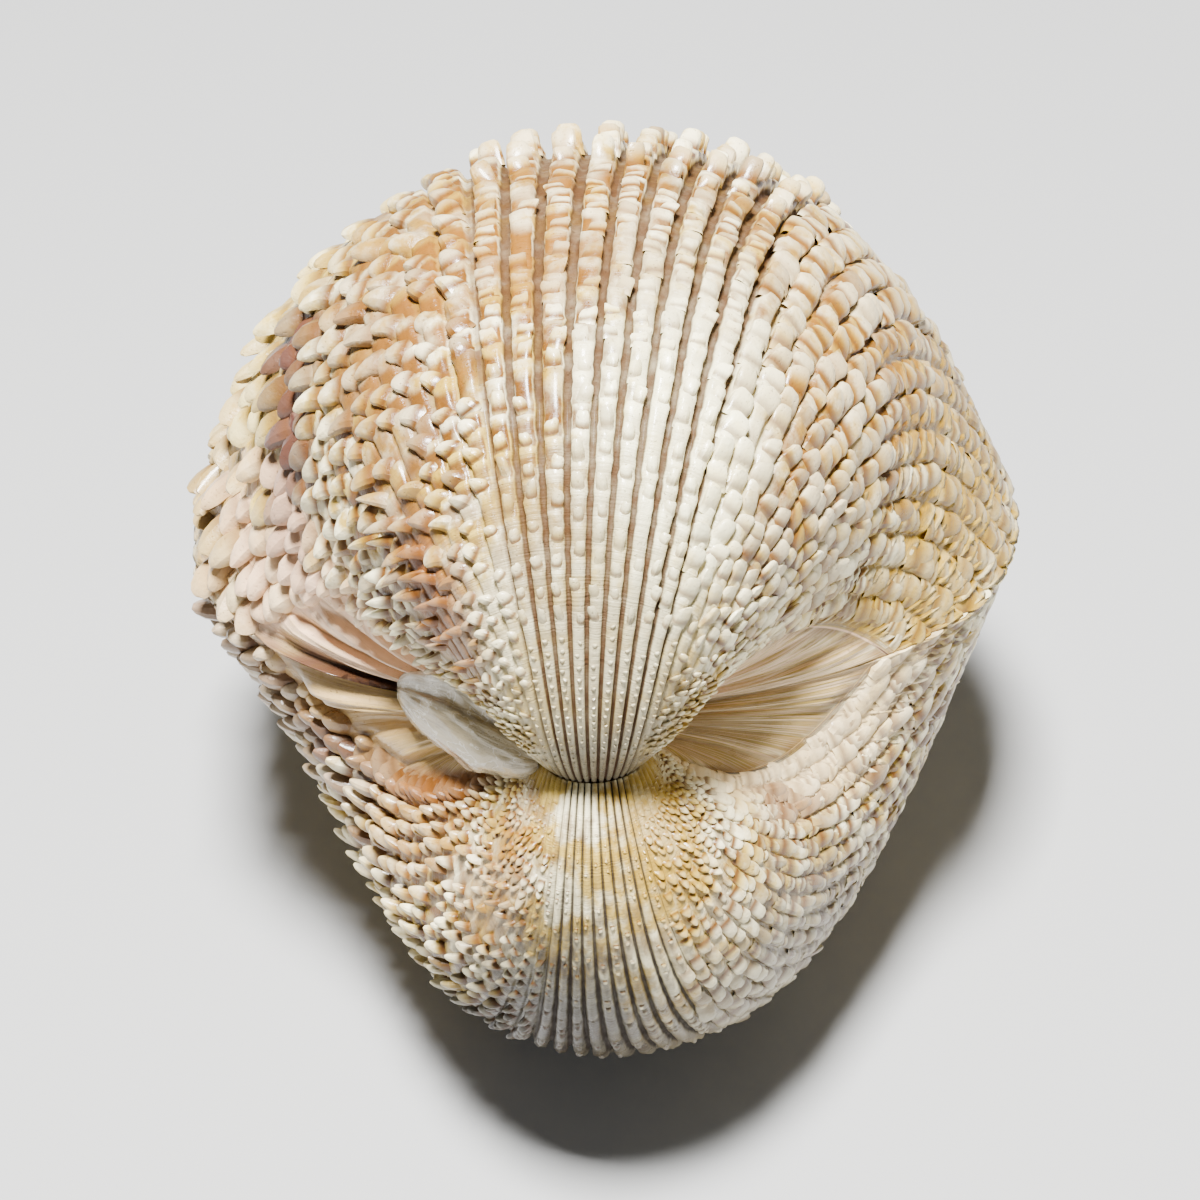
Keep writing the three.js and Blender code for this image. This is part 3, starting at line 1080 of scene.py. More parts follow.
class Wiring:
    """Short ways to place and join nodes in one tree."""

    def __init__(self, tree: bpy.types.NodeTree) -> None:
        """Keeps the tree that the nodes go into."""
        self.tree = tree

    def node(self, kind: str, **settings: object) -> bpy.types.Node:
        """Adds a node.

        Args:
            kind: The node's type.
            **settings: Its properties.

        Returns:
            The node.
        """
        made = self.tree.nodes.new(kind)
        for key, value in settings.items():
            setattr(made, key, value)
        return made

    def feed(self, socket: Output, value: object) -> None:
        """Gives an input a fixed value or joins another node's output to it.

        Args:
            socket: The input.
            value: A number, a vector, a colour or an output.
        """
        if isinstance(value, bpy.types.NodeSocket):
            self.tree.links.new(value, socket)
        elif isinstance(value, tuple) and len(value) == 3 and socket.type == "RGBA":
            socket.default_value = (*value, 1.0)
        else:
            socket.default_value = value

    def math(self, operation: str, first: object, second: object = 0.0, clamp: bool = False) -> Output:
        """Adds a sum of one or two values.

        Args:
            operation: The sum's name.
            first: The first value.
            second: The second value.
            clamp: Keeps the result between 0 and 1.

        Returns:
            The result.
        """
        made = self.node("ShaderNodeMath", operation=operation, use_clamp=clamp)
        self.feed(made.inputs[0], first)
        self.feed(made.inputs[1], second)
        return made.outputs[0]

    def times(self, first: object, second: object) -> Output:
        """Multiplies two values."""
        return self.math("MULTIPLY", first, second)

    def plus(self, first: object, second: object) -> Output:
        """Adds two values."""
        return self.math("ADD", first, second)

    def less(self, first: object, second: object) -> Output:
        """Takes the second value from the first."""
        return self.math("SUBTRACT", first, second)

    def rest(self, share: object) -> Output:
        """Gives what a share leaves of 1, never below 0."""
        return self.math("SUBTRACT", 1.0, share, clamp=True)

    def blend(self, share: object, first: object, second: object) -> Output:
        """Mixes two colours.

        Args:
            share: How much of the second colour shows.
            first: The first colour.
            second: The second colour.

        Returns:
            The mixed colour.
        """
        made = self.node("ShaderNodeMix", data_type="RGBA", clamp_factor=True)
        self.feed(made.inputs[0], share)
        self.feed(made.inputs[6], first)
        self.feed(made.inputs[7], second)
        return made.outputs[2]

    def ease(self, value: object, start: object, end: object, low: float = 0.0, high: float = 1.0) -> Output:
        """Maps a range of values smoothly to another.

        Args:
            value: The value to map.
            start: The value that gives low.
            end: The value that gives high; it may be below start.
            low: The result at and before start.
            high: The result at and past end.

        Returns:
            The mapped value.
        """
        made = self.node("ShaderNodeMapRange", interpolation_type="SMOOTHSTEP", clamp=True)
        for socket, given in zip(made.inputs[:5], (value, start, end, low, high)):
            self.feed(socket, given)
        return made.outputs[0]

    def noise(self, vector: object, scale: float, detail: float = 3.0, rough: float = 0.55) -> Output:
        """Adds a noise pattern.

        Args:
            vector: The coordinates that it follows.
            scale: Its size.
            detail: Its number of octaves.
            rough: How strong the fine octaves are.

        Returns:
            The pattern, between 0 and 1.
        """
        made = self.node("ShaderNodeTexNoise")
        for key, value in {"Vector": vector, "Scale": scale, "Detail": detail, "Roughness": rough}.items():
            self.feed(made.inputs[key], value)
        return made.outputs["Fac"]

    def stretch(self, vector: object, by: Colour, move: Colour = (0.0, 0.0, 0.0)) -> Output:
        """Scales a vector along its three axes and moves it.

        Args:
            vector: The vector.
            by: A factor for each axis.
            move: A shift for each axis.

        Returns:
            The new vector.
        """
        made = self.node("ShaderNodeVectorMath", operation="MULTIPLY_ADD")
        for socket, value in zip(made.inputs, (vector, by, move)):
            self.feed(socket, value)
        return made.outputs[0]

    def parts(self, vector: object) -> tuple[Output, Output, Output]:
        """Splits a vector.

        Args:
            vector: The vector.

        Returns:
            Its three numbers.
        """
        made = self.node("ShaderNodeSeparateXYZ")
        self.feed(made.inputs[0], vector)
        return made.outputs[0], made.outputs[1], made.outputs[2]

    def read(self, name: str) -> Output:
        """Reads one of a piece's notes as a vector."""
        return self.node("ShaderNodeAttribute", attribute_name=name).outputs["Vector"]

    def group(self, tree: bpy.types.NodeTree, **values: object) -> bpy.types.Node:
        """Places a shader group.

        Args:
            tree: The group.
            **values: Its inputs by name, with _ for each blank.

        Returns:
            The group's node.
        """
        made = self.node("ShaderNodeGroup")
        made.node_tree = tree
        for key, value in values.items():
            self.feed(made.inputs[key.replace("_", " ")], value)
        return made

    def bump(self, shader: bpy.types.Node, height: Output, strength: float, distance: float) -> None:
        """Gives a shader fine relief.

        Args:
            shader: The shader.
            height: The relief's height.
            strength: How strongly it shows.
            distance: What a height of 1 stands for, in metres.
        """
        made = self.node("ShaderNodeBump")
        made.inputs["Strength"].default_value = strength
        made.inputs["Distance"].default_value = distance
        self.feed(made.inputs["Height"], height)
        self.feed(shader.inputs["Normal"], made.outputs[0])


def new_group(name: str, inputs: dict[str, str], outputs: tuple[str, ...]) -> tuple[Wiring, dict, dict]:
    """Starts a shader group with named sockets.

    Args:
        name: The group's name.
        inputs: Socket names and types.
        outputs: Names of the values that it puts out.

    Returns:
        The group's wiring, the outputs that bring its inputs in, and the inputs that take its outputs.
    """
    tree = bpy.data.node_groups.new(name, "ShaderNodeTree")
    for key, kind in inputs.items():
        tree.interface.new_socket(key, in_out="INPUT", socket_type=kind)
    for key in outputs:
        tree.interface.new_socket(key, in_out="OUTPUT", socket_type="NodeSocketFloat")
    wires = Wiring(tree)
    return wires, wires.node("NodeGroupInput").outputs, wires.node("NodeGroupOutput").inputs


def new_material(name: str) -> tuple[bpy.types.Material, Wiring, bpy.types.Node]:
    """Starts a material.

    Args:
        name: The material's name.

    Returns:
        The material, its wiring and its shader.
    """
    material = bpy.data.materials.new(name)
    material.use_nodes = True
    return material, Wiring(material.node_tree), material.node_tree.nodes["Principled BSDF"]


class Effects:
    """The shader groups that more than one finish uses, each built once."""

    def __init__(self) -> None:
        """Builds the groups."""
        self.patch = self.build_patch()
        self.grain = self.build_grain()
        self.bands = self.build_bands()

    @staticmethod
    def build_patch() -> bpy.types.NodeTree:
        """Builds a soft, ragged patch round one place on a valve.

        Returns:
            The group, which puts out a mask.
        """
        reaches = ("Around", "Turn", "Around Reach", "Turn Reach", "Raggedness")
        sockets = {"Place": "NodeSocketVector", **dict.fromkeys(reaches, "NodeSocketFloat")}
        wires, enter, leave = new_group("stain_and_shade_patch", sockets, ("Mask",))
        around, turn, _ = wires.parts(enter["Place"])
        first = wires.math("DIVIDE", wires.less(around, enter["Around"]), enter["Around Reach"])
        second = wires.math("DIVIDE", wires.less(turn, enter["Turn"]), enter["Turn Reach"])
        away = wires.math("SQRT", wires.plus(wires.times(first, first), wires.times(second, second)))
        rough = wires.noise(wires.stretch(enter["Place"], (9.0, 13.0, 0.0)), 1.0, 4.0, 0.6)
        ragged = wires.times(wires.less(rough, 0.5), enter["Raggedness"])
        wires.feed(leave["Mask"], wires.ease(wires.plus(away, ragged), 1.15, 0.35))
        return wires.tree

    @staticmethod
    def build_grain() -> bpy.types.NodeTree:
        """Builds chalky grain and tiny pits.

        Returns:
            The group, which puts out a level and a height.
        """
        sockets = {"Coordinates": "NodeSocketVector", "Scale": "NodeSocketFloat"}
        wires, enter, leave = new_group("chalk_grain", sockets, ("Level", "Height"))
        sized = wires.node("ShaderNodeVectorMath", operation="SCALE")
        wires.feed(sized.inputs[0], enter["Coordinates"])
        wires.feed(sized.inputs["Scale"], enter["Scale"])
        soft = wires.noise(sized.outputs[0], 1.0, 5.0, 0.62)
        fine = wires.noise(sized.outputs[0], 5.5, 3.0, 0.6)
        pits = wires.ease(fine, 0.36, 0.27)
        wires.feed(leave["Level"], soft)
        wires.feed(leave["Height"], wires.less(wires.plus(soft, wires.times(fine, 0.35)), pits))
        return wires.tree

    @staticmethod
    def build_bands() -> bpy.types.NodeTree:
        """Builds growth bands that cross the ribs and break up from rib to rib.

        Returns:
            The group, which puts out a mask.
        """
        sizes = ("Band Pitch", "Amount", "Offset")
        sockets = {"Place": "NodeSocketVector", **dict.fromkeys(sizes, "NodeSocketFloat")}
        wires, enter, leave = new_group("growth_bands", sockets, ("Mask",))
        around, turn, _ = wires.parts(enter["Place"])
        run = wires.math("DIVIDE", turn, enter["Band Pitch"])
        joined = wires.node("ShaderNodeCombineXYZ")
        wires.feed(joined.inputs[0], wires.times(around, 0.7))
        wires.feed(joined.inputs[1], wires.plus(run, enter["Offset"]))
        bands = wires.noise(joined.outputs[0], 1.0, 2.0, 0.5)
        broken = wires.noise(wires.stretch(enter["Place"], (7.8, 5.0, 0.0), (3.0, 1.0, 0.0)), 1.0, 3.0, 0.6)
        level = wires.plus(wires.times(bands, 0.62), wires.times(broken, 0.38))
        edge = wires.less(0.72, wires.times(enter["Amount"], 0.34))
        wires.feed(leave["Mask"], wires.ease(level, edge, wires.plus(edge, 0.1)))
        return wires.tree


@dataclass(frozen=True)
class Patch:
    """One patch of colour on a valve, a discoloured spot or a patch of painted shade: its colour, strength
    and raggedness, and its place and reach.

    Place and reach are each two numbers, round the valve's oval and by turn from the margin.
    """

    colour: Colour
    at: tuple[float, float]
    reach: tuple[float, float]
    strength: float = 0.7
    ragged: float = 0.9


class Spot:
    """What a valve's finish reads at a point of a piece, as node outputs.

    turn is the place from the margin to the beak, tip the place along a scale and step that from one scale
    to the next. groove is 1 on a groove's floor and rises in the folds' creases, where the finish paints
    shade and soil; ribbed is 0 off the ribs, and chance is a scale's own.
    """

    def __init__(self, wires: Wiring) -> None:
        """Places the nodes that read the piece's notes.

        Args:
            wires: The material's wiring.
        """
        place = wires.read("place")
        _, self.turn, self.tip = wires.parts(place)
        self.groove, ribbed, self.chance = wires.parts(wires.read("marks"))
        self.step, _, _ = wires.parts(wires.read("spans"))
        self.flat = wires.stretch(place, (1.0, 1.0, 0.0))
        self.own = wires.node("ShaderNodeTexCoord").outputs["Object"]
        self.bare = wires.rest(ribbed)


@dataclass(frozen=True)
class ShellFinish:
    """The finish of a valve: cream, with growth bands, grooves and creases darkened with soil and painted
    shade, coloured patches, and painted shade and light on the scales.
    """

    name: str
    effects: Effects
    patches: tuple[Patch, ...]
    offset: float
    cream: Colour = (0.58, 0.40, 0.08)
    pale: Colour = (0.98, 0.89, 0.56)
    gold: Colour = (0.40, 0.24, 0.012)
    tan: Colour = (0.13, 0.05, 0.006)
    rust: Colour = (0.11, 0.04, 0.006)
    # Soil colour, which also stands in for painted shade in the grooves and creases.
    soil_and_shade: Colour = (0.048, 0.016, 0.001)
    plain: Colour = (1.0, 0.72, 0.42)
    grain_scale: float = 900.0
    specular: float = 0.3
    coat_roughness: float = 0.14
    bump_strength: float = 0.7
    bump_distance: float = 0.00022

    def grow(self, wires: Wiring, spot: Spot, cluster: Output) -> Output:
        """Colours the shell as it grew: cream and pale, with gold and tan scales and growth bands.

        Args:
            wires: The material's wiring.
            spot: What the finish reads at a point.
            cluster: A broad pattern that gathers the tan scales.

        Returns:
            The colour.
        """
        scaly = wires.ease(spot.turn, 2.3, 1.7, 0.2, 1.0)
        bands = {"Place": spot.flat, "Offset": self.offset}
        wide = wires.group(self.effects.bands, **bands, Band_Pitch=0.19, Amount=0.62)
        bands["Offset"] = self.offset + 7.0
        fine = wires.group(self.effects.bands, **bands, Band_Pitch=0.06, Amount=0.5)
        broad = wires.noise(spot.own, 380.0, 4.0, 0.6)
        gilt = wires.times(wires.ease(spot.chance, 0.72, 0.95), 0.75)
        tanned = wires.times(wires.ease(spot.chance, 0.3, 0.06), wires.ease(cluster, 0.4, 0.6, 0.15, 0.9))
        colour = wires.blend(wires.ease(broad, 0.42, 0.56), self.cream, self.pale)
        colour = wires.blend(wires.times(gilt, scaly), colour, self.gold)
        colour = wires.blend(wires.times(tanned, scaly), colour, self.tan)
        colour = wires.blend(wires.times(wide.outputs[0], 0.55), colour, self.tan)
        return wires.blend(wires.times(fine.outputs[0], 0.3), colour, self.rust)

    def shade_scales(
        self, wires: Wiring, spot: Spot, colour: Output, spread: Output, root_shade_and_tan: Output
    ) -> Output:
        """Tans the hollows before scales and the scales' roots, partly as painted shade, and pales their tips
        with painted light and wear.

        Args:
            wires: The material's wiring.
            spot: What the finish reads at a point.
            colour: The colour so far.
            spread: How far the tan has spread at a point.
            root_shade_and_tan: How near a point lies to a scale's root, which is tanned and darkened with
                painted shade.

        Returns:
            The new colour.
        """
        scaly = wires.ease(spot.turn, 2.3, 1.7, 0.2, 1.0)
        middle = wires.ease(spot.groove, 0.5, 0.15)
        # Tan in the hollow before each scale, partly painted shade under the scale's overhang.
        hollow = wires.times(wires.ease(spot.step, 0.2, 0.5), wires.times(middle, spread))
        colour = wires.blend(wires.times(hollow, scaly), colour, self.tan)
        colour = wires.blend(root_shade_and_tan, colour, self.tan)
        # Painted light and wear pale the scales' tips.
        lit = wires.times(wires.ease(spot.tip, 0.35, 0.95), wires.ease(spot.chance, 0.12, 0.45, 0.15, 0.65))
        lit = wires.times(lit, wires.ease(spot.turn, 2.5, 2.0, 0.3, 1.0))
        return wires.blend(lit, colour, self.pale)

    def stain_and_shade(self, wires: Wiring, spot: Spot, colour: Output) -> Output:
        """Lays the folds' own colour over the bare stretch, and then the patches: discolouring, and painted
        shade at the beak's tip, the underside and the gap under the hinge.

        Args:
            wires: The material's wiring.
            spot: What the finish reads at a point.
            colour: The colour so far.

        Returns:
            The new colour.
        """
        lines = wires.noise(wires.stretch(spot.flat, (0.8, 60.0, 0.0)), 1.0, 3.0, 0.6)
        folds = wires.blend(wires.ease(lines, 0.38, 0.62), self.plain, self.cream)
        colour = wires.blend(wires.times(spot.bare, 0.85), colour, folds)
        for patch in self.patches:
            made = wires.group(
                self.effects.patch,
                Place=spot.flat,
                Around=patch.at[0],
                Turn=patch.at[1],
                Around_Reach=patch.reach[0],
                Turn_Reach=patch.reach[1],
                Raggedness=patch.ragged,
            )
            colour = wires.blend(wires.times(made.outputs[0], patch.strength), colour, patch.colour)
        return colour

    def build(self) -> bpy.types.Material:
        """Makes the material.

        Returns:
            The material, ready for a piece that has its places noted.
        """
        material, wires, shader = new_material(self.name)
        spot = Spot(wires)
        grain = wires.group(self.effects.grain, Coordinates=spot.own, Scale=self.grain_scale)
        level = grain.outputs["Level"]
        gathered = wires.stretch(spot.flat, (4.6, 6.0, 0.0), (5.0, self.offset, 0.0))
        cluster = wires.noise(gathered, 1.0, 2.0, 0.5)
        spread = wires.ease(wires.plus(cluster, wires.times(spot.chance, 0.3)), 0.47, 0.62, 0.3, 1.0)
        on_scale = wires.times(wires.ease(spot.tip, 0.02, 0.1), spread)
        # Painted shade and tan at the scales' roots.
        root_shade_and_tan = wires.times(wires.ease(spot.tip, 0.55, 0.1), on_scale)
        colour = self.grow(wires, spot, cluster)
        colour = self.shade_scales(wires, spot, colour, spread, root_shade_and_tan)
        colour = wires.blend(wires.ease(level, 0.4, 0.75, 0.0, 0.2), colour, self.tan)
        colour = self.stain_and_shade(wires, spot, colour)
        # More painted shade and tan at the scales' roots, in rust.
        colour = wires.blend(wires.times(root_shade_and_tan, 0.5), colour, self.rust)
        # Painted shade and soil darken the groove floors and the folds' creases.
        dirt_and_shade = wires.times(wires.ease(spot.groove, 0.32, 0.8), wires.ease(level, 0.2, 0.7, 0.85, 0.98))
        wires.feed(shader.inputs["Base Color"], wires.blend(dirt_and_shade, colour, self.soil_and_shade))
        rough = wires.plus(wires.ease(level, 0.25, 0.75, 0.24, 0.46), wires.times(dirt_and_shade, 0.5))
        wires.feed(shader.inputs["Roughness"], rough)
        shader.inputs["Specular IOR Level"].default_value = self.specular
        coat = wires.times(wires.ease(spot.bare, 0.2, 0.9, 0.3, 0.8), wires.rest(dirt_and_shade))
        wires.feed(shader.inputs["Coat Weight"], coat)
        shader.inputs["Coat Roughness"].default_value = self.coat_roughness
        ridges = wires.noise(wires.stretch(spot.flat, (3.0, 170.0, 0.0)), 1.0, 2.0, 0.5)
        height = wires.plus(wires.times(grain.outputs["Height"], 0.6), wires.times(ridges, 0.4))
        wires.bump(shader, height, self.bump_strength, self.bump_distance)
        return material


@dataclass(frozen=True)
class LigamentFinish:
    """The finish of the ligament: horn-like, silvery grey and glossy, with lengthwise lines that have painted
    shade in their hollows, a painted highlight along the rolled lip, and pale veins that are partly painted
    highlight.
    """

    effects: Effects
    silver: Colour = (0.42, 0.35, 0.22)
    shade: Colour = (0.12, 0.085, 0.05)
    # The painted highlight along the rolled lip, also laid in the veins.
    lip: Colour = (0.90, 0.87, 0.76)
    lip_angle: float = 1.78
    grain_scale: float = 1400.0
    coat: float = 0.9
    coat_roughness: float = 0.08
    bump_strength: float = 0.8
    bump_distance: float = 0.0003

    def build(self) -> bpy.types.Material:
        """Makes the material.

        Returns:
            The material, ready for the band.
        """
        material, wires, shader = new_material("ligament_finish")
        place = wires.read("place")
        lines = wires.noise(wires.stretch(place, (3.2, 2.2, 0.0)), 1.0, 4.0, 0.6)
        own = wires.node("ShaderNodeTexCoord").outputs["Object"]
        grain = wires.group(self.effects.grain, Coordinates=own, Scale=self.grain_scale)
        level = grain.outputs["Level"]
        # Painted shade in the wrinkles' hollows.
        colour = wires.blend(wires.ease(lines, 0.3, 0.5, 0.7, 0.0), self.silver, self.shade)
        colour = wires.blend(wires.ease(level, 0.55, 0.8, 0.0, 0.5), colour, self.shade)
        angle, _, _ = wires.parts(place)
        # Painted highlight along the rolled lip.
        from_lip = wires.math("ABSOLUTE", wires.less(angle, self.lip_angle))
        colour = wires.blend(wires.ease(from_lip, 0.36, 0.1, 0.0, 0.95), colour, self.lip)
        # Pale veins, partly painted highlight glinting on the wrinkles.
        vein_glints = wires.noise(wires.stretch(place, (1.6, 3.4, 0.0)), 1.0, 3.0, 0.6)
        from_vein_glint = wires.math("ABSOLUTE", wires.less(vein_glints, 0.55))
        colour = wires.blend(wires.ease(from_vein_glint, 0.012, 0.001, 0.0, 0.4), colour, self.lip)
        wires.feed(shader.inputs["Base Color"], colour)
        shader.inputs["Coat Weight"].default_value = self.coat
        shader.inputs["Coat Roughness"].default_value = self.coat_roughness
        wires.feed(shader.inputs["Roughness"], wires.ease(level, 0.3, 0.7, 0.14, 0.3))
        height = wires.plus(lines, wires.times(grain.outputs["Height"], 0.3))
        wires.bump(shader, height, self.bump_strength, self.bump_distance)
        return material


@dataclass(frozen=True)
class SoftLight:
    """One square soft light that faces the shell: its place and side in metres, and its power in watts."""

    name: str
    spot: tuple[float, float, float]
    size: float
    watts: float
    aim: tuple[float, float, float] = (0.0, 0.0, 0.03)

    def hang(self) -> None:
        """Hangs the light in the scene."""
        data = bpy.data.lights.new(self.name, "AREA")
        data.size = self.size
        data.energy = self.watts
        light = bpy.data.objects.new(self.name, data)
        light.location = self.spot
        towards = Vector(self.aim) - Vector(self.spot)
        light.rotation_euler = towards.to_track_quat("-Z", "Y").to_euler()
        bpy.context.scene.collection.objects.link(light)


@dataclass(frozen=True)
class Studio:
    """The pale floor, the soft lights, the sky and the camera.

    The camera stands at camera_at in the valves' own frame, in shares of their reach. down, round and roll
    are its turns in radians, and lens is in millimetres. floor_reach is half the floor's side, in metres.
    """

    coil: Coil
    lie: Lie
    camera_at: tuple[float, float, float] = (0.2327, -3.0546, 1.8594)
    down: float = 0.50736
    round: float = 0.07334
    roll: float = 0.02024
    lens: float = 93.67
    sensor: float = 36.0
    clip: tuple[float, float] = (0.01, 20.0)
    floor_reach: float = 3.0
    floor_colour: Colour = (0.38, 0.38, 0.375)
    floor_roughness: float = 0.85
    sky_colour: Colour = (0.80, 0.82, 0.84)
    sky_strength: float = 0.16
    lights: tuple[SoftLight, ...] = (
        SoftLight("key", (-0.015, -0.07, 0.46), 0.1, 13.5),
        SoftLight("fill", (0.40, -0.42, 0.24), 0.4, 0.6),
    )

    def place_camera(self) -> None:
        """Sets the camera where the photograph was taken from, as seen from the valves' own frame."""
        cos_round, sin_round = math.cos(self.round), math.sin(self.round)
        cos_down, sin_down = math.cos(self.down), math.sin(self.down)
        right = Vector((cos_round, sin_round, 0.0))
        ahead = Vector((-sin_round * cos_down, cos_round * cos_down, -sin_down))
        up = right.cross(ahead)
        turned_right = right * math.cos(self.roll) - up * math.sin(self.roll)
        turned_up = right * math.sin(self.roll) + up * math.cos(self.roll)
        axes = Matrix((turned_right, turned_up, -ahead)).transposed().to_4x4()
        spot = Matrix.Translation(Vector(self.camera_at) * self.coil.reach * MM)
        data = bpy.data.cameras.new("camera")
        data.sensor_width = self.sensor
        data.lens = self.lens
        data.clip_start, data.clip_end = self.clip
        camera = bpy.data.objects.new("camera", data)
        camera.matrix_world = self.lie.matrix() @ spot @ axes
        bpy.context.scene.collection.objects.link(camera)
        bpy.context.scene.camera = camera

    def lay_floor(self) -> None:
        """Makes the plain pale floor."""
        signs = np.array([[-1.0, -1.0, 0.0], [1.0, -1.0, 0.0], [1.0, 1.0, 0.0], [-1.0, 1.0, 0.0]])
        floor = mesh_piece("floor", signs * self.floor_reach, np.array([[0, 1, 2, 3]]), False)
        material, _, shader = new_material("floor_finish")
        shader.inputs["Base Color"].default_value = (*self.floor_colour, 1.0)
        shader.inputs["Roughness"].default_value = self.floor_roughness
        floor.data.materials.append(material)

    def spread_sky(self) -> None:
        """Lights the scene softly from all round."""
        world = bpy.data.worlds.new("studio_sky")
        world.use_nodes = True
        sky = world.node_tree.nodes["Background"]
        sky.inputs[0].default_value = (*self.sky_colour, 1.0)
        sky.inputs[1].default_value = self.sky_strength
        bpy.context.scene.world = world

    def build(self) -> None:
        """Sets up the floor, the camera, the lights and the sky."""
        self.lay_floor()
        self.place_camera()
        for light in self.lights:
            light.hang()
        self.spread_sky()


MAROON: Colour = (0.07, 0.02, 0.017)

UPPER_STAINS_AND_SHADE: tuple[Patch, ...] = (
    # Tan growth pauses across the middle ribs.
    Patch((0.17, 0.07, 0.01), at=(1.55, 1.36), reach=(0.85, 0.14), strength=0.5, ragged=1.8),
    Patch((0.18, 0.08, 0.01), at=(1.70, 1.95), reach=(0.6, 0.16), strength=0.5, ragged=1.8),
    Patch((0.30, 0.12, 0.010), at=(1.8, 1.15), reach=(0.6, 0.5), strength=0.4, ragged=2.6),
    # The rear of the upper valve.
    Patch((0.60, 0.42, 0.07), at=(3.25, 0.55), reach=(1.1, 0.8), strength=0.6, ragged=1.6),
    Patch((0.24, 0.13, 0.075), at=(3.35, 0.2), reach=(0.9, 0.4), strength=0.5, ragged=2.6),
    # Maroon spots.
    Patch(MAROON, at=(2.86, 0.93), reach=(0.28, 0.24), strength=0.97, ragged=1.1),
    Patch(MAROON, at=(3.16, 1.05), reach=(0.28, 0.24), strength=0.97, ragged=1.1),
    Patch(MAROON, at=(3.52, 0.90), reach=(0.32, 0.26), strength=0.95, ragged=1.1),
    # Orange and tan behind the middle ribs.
    Patch((0.20, 0.09, 0.02), at=(2.62, 1.60), reach=(0.36, 0.65), strength=0.55, ragged=1.8),
    Patch((0.20, 0.06, 0.008), at=(2.75, 2.12), reach=(0.5, 0.4), strength=0.85, ragged=1.1),
    Patch((0.20, 0.075, 0.008), at=(2.35, 1.15), reach=(0.4, 0.5), strength=0.45, ragged=1.9),
    # The front of the upper valve.
    Patch((0.42, 0.25, 0.02), at=(-0.25, 0.34), reach=(1.0, 0.55), strength=0.7, ragged=2.2),
    Patch((0.28, 0.12, 0.012), at=(0.42, 1.2), reach=(1.0, 0.9), strength=0.45, ragged=1.9),
    Patch((1.0, 0.96, 0.62), at=(1.05, 1.8), reach=(0.7, 0.65), strength=0.6, ragged=1.5),
    # The beak; the second patch darkens its tip with painted shade.
    Patch((0.34, 0.29, 0.17), at=(1.42, 2.55), reach=(1.4, 0.8), strength=0.7, ragged=0.8),
    Patch((0.09, 0.075, 0.05), at=(1.42, 3.1), reach=(1.4, 0.5), strength=0.9, ragged=0.8),
    # The hinge, and painted shadow in the gap under it.
    Patch((0.96, 0.64, 0.42), at=(4.3, 0.8), reach=(1.1, 1.1), strength=0.85, ragged=1.6),
    Patch((0.06, 0.018, 0.01), at=(4.35, 0.02), reach=(0.7, 0.13), strength=0.95, ragged=0.5),
    Patch((0.40, 0.16, 0.10), at=(-1.15, 1.3), reach=(0.25, 0.9), strength=0.4, ragged=1.2),
)

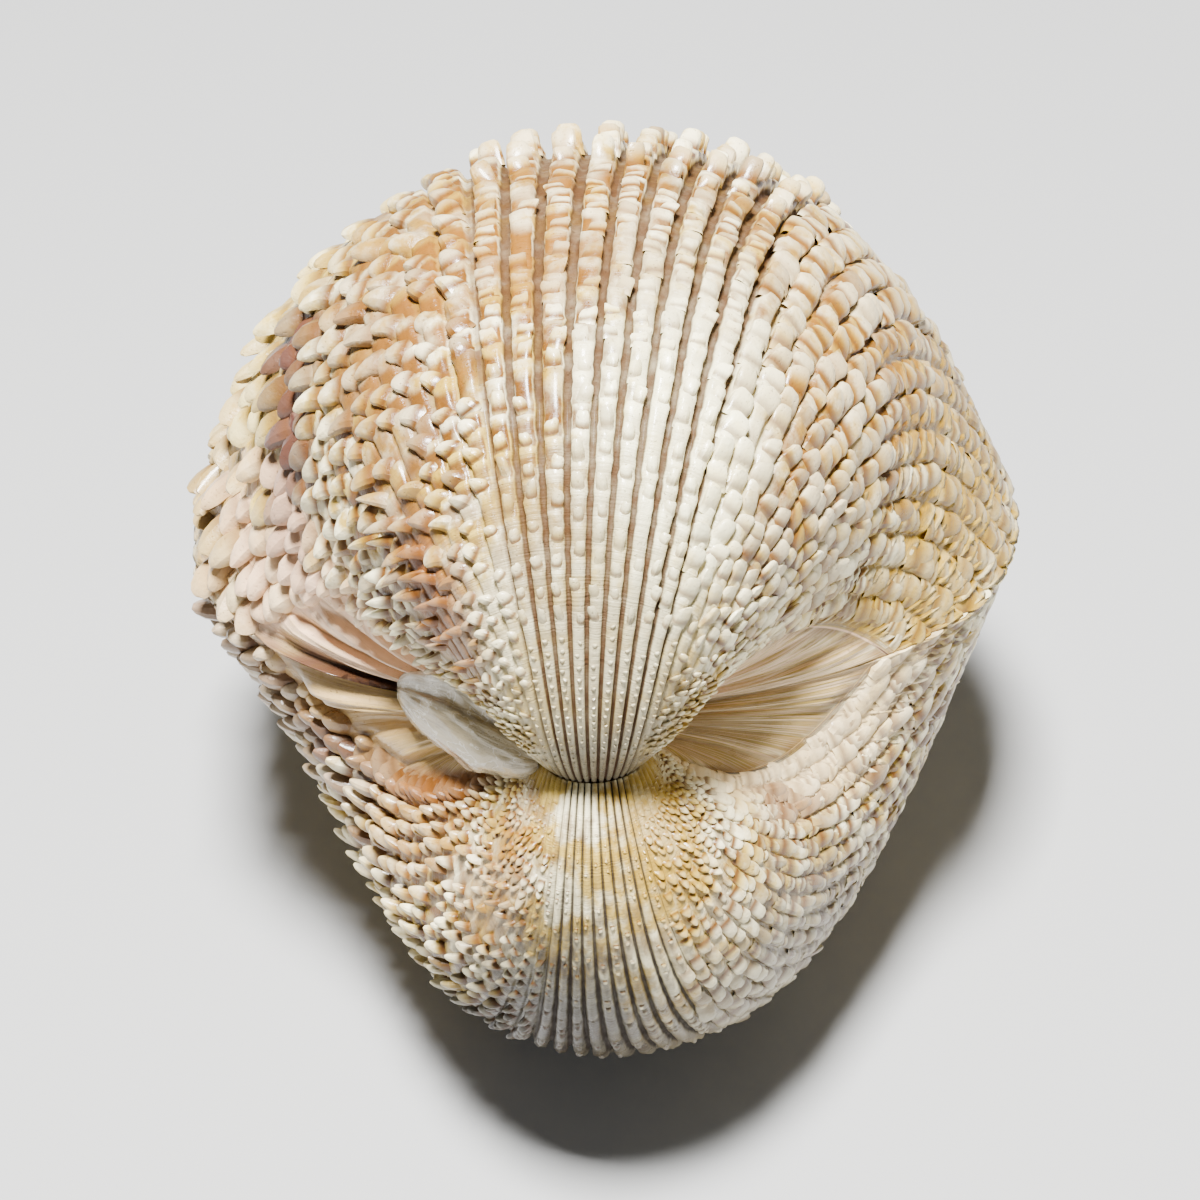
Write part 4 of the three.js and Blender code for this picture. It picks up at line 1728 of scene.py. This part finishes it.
LOWER_STAINS_AND_SHADE: tuple[Patch, ...] = (
    # Ochre round the beak.
    Patch((0.36, 0.21, 0.015), at=(0.55, 2.75), reach=(0.9, 0.6), strength=0.75, ragged=1.2),
    Patch((0.28, 0.12, 0.012), at=(2.75, 2.45), reach=(0.6, 0.6), strength=0.65, ragged=1.4),
    # The front folds.
    Patch((1.0, 0.76, 0.42), at=(-1.0, 1.2), reach=(0.6, 2.0), strength=0.8, ragged=1.2),
    Patch((0.36, 0.13, 0.08), at=(-1.1, 2.4), reach=(0.3, 0.7), strength=0.7, ragged=0.8),
    Patch((0.20, 0.07, 0.02), at=(-0.62, 1.45), reach=(0.2, 0.24), strength=0.7, ragged=1.2),
    # The tongues and what lies round them.
    Patch((0.30, 0.13, 0.02), at=(3.5, 1.6), reach=(0.5, 0.8), strength=0.6, ragged=1.7),
    Patch((0.22, 0.07, 0.008), at=(3.76, 1.6), reach=(0.22, 1.1), strength=0.85, ragged=0.4),
    # The dark underside: painted shade and discolouring.
    Patch((0.02, 0.015, 0.011), at=(1.8, 1.75), reach=(1.05, 1.05), strength=0.93, ragged=0.9),
    Patch((0.22, 0.19, 0.13), at=(0.6, 1.5), reach=(1.1, 0.7), strength=0.7, ragged=1.2),
    # Lilac and maroon at the rear.
    Patch((0.26, 0.17, 0.125), at=(3.7, 0.35), reach=(0.9, 0.9), strength=0.75, ragged=2.2),
    Patch((0.08, 0.02, 0.015), at=(3.72, 0.78), reach=(0.24, 0.34), strength=0.95, ragged=1.0),
    # The hinge.
    Patch((0.74, 0.48, 0.15), at=(4.3, 0.6), reach=(0.7, 1.0), strength=0.6, ragged=1.2),
)


def main() -> None:
    """Builds the shell's looks and the studio round it."""
    logging.basicConfig(level=logging.INFO, format="%(name)s: %(message)s")
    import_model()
    coil, lie, effects = Coil(), Lie(), Effects()
    upper = Valve(
        "upper_valve",
        Side.UP,
        Slot.UPPER,
        "upper_valve",
        coil,
        lie,
        Ribs(pitch=0.1288, middle=1.453, first=-17, last=18),
        rear_swell=0.04,
        front_swell=0.0,
        seed=11,
    )
    lower = Valve(
        "lower_valve",
        Side.DOWN,
        Slot.LOWER,
        "lower_valve",
        coil,
        lie,
        Ribs(pitch=0.1175, middle=1.444, first=-19, last=20, cords=0.85),
        rear_swell=-0.12,
        front_swell=0.04,
        seed=42,
        rows=214,
    )
    ligament = Ligament(coil, lie)
    for part in (upper, lower, ligament):
        for piece in part.build():
            LOG.info("%s: %d faces", piece.name, len(piece.data.polygons))
    upper.dress(ShellFinish("upper_shell_finish", effects, UPPER_STAINS_AND_SHADE, 0.0))
    # The lower valve's darker soil colour is mostly painted shade, as its underside faces away from the
    # light.
    lower.dress(ShellFinish("lower_shell_finish", effects, LOWER_STAINS_AND_SHADE, 13.0, soil_and_shade=(0.02, 0.012, 0.007)))
    ligament.dress(LigamentFinish(effects))
    Studio(coil, lie).build()


if __name__ == "__main__":
    main()
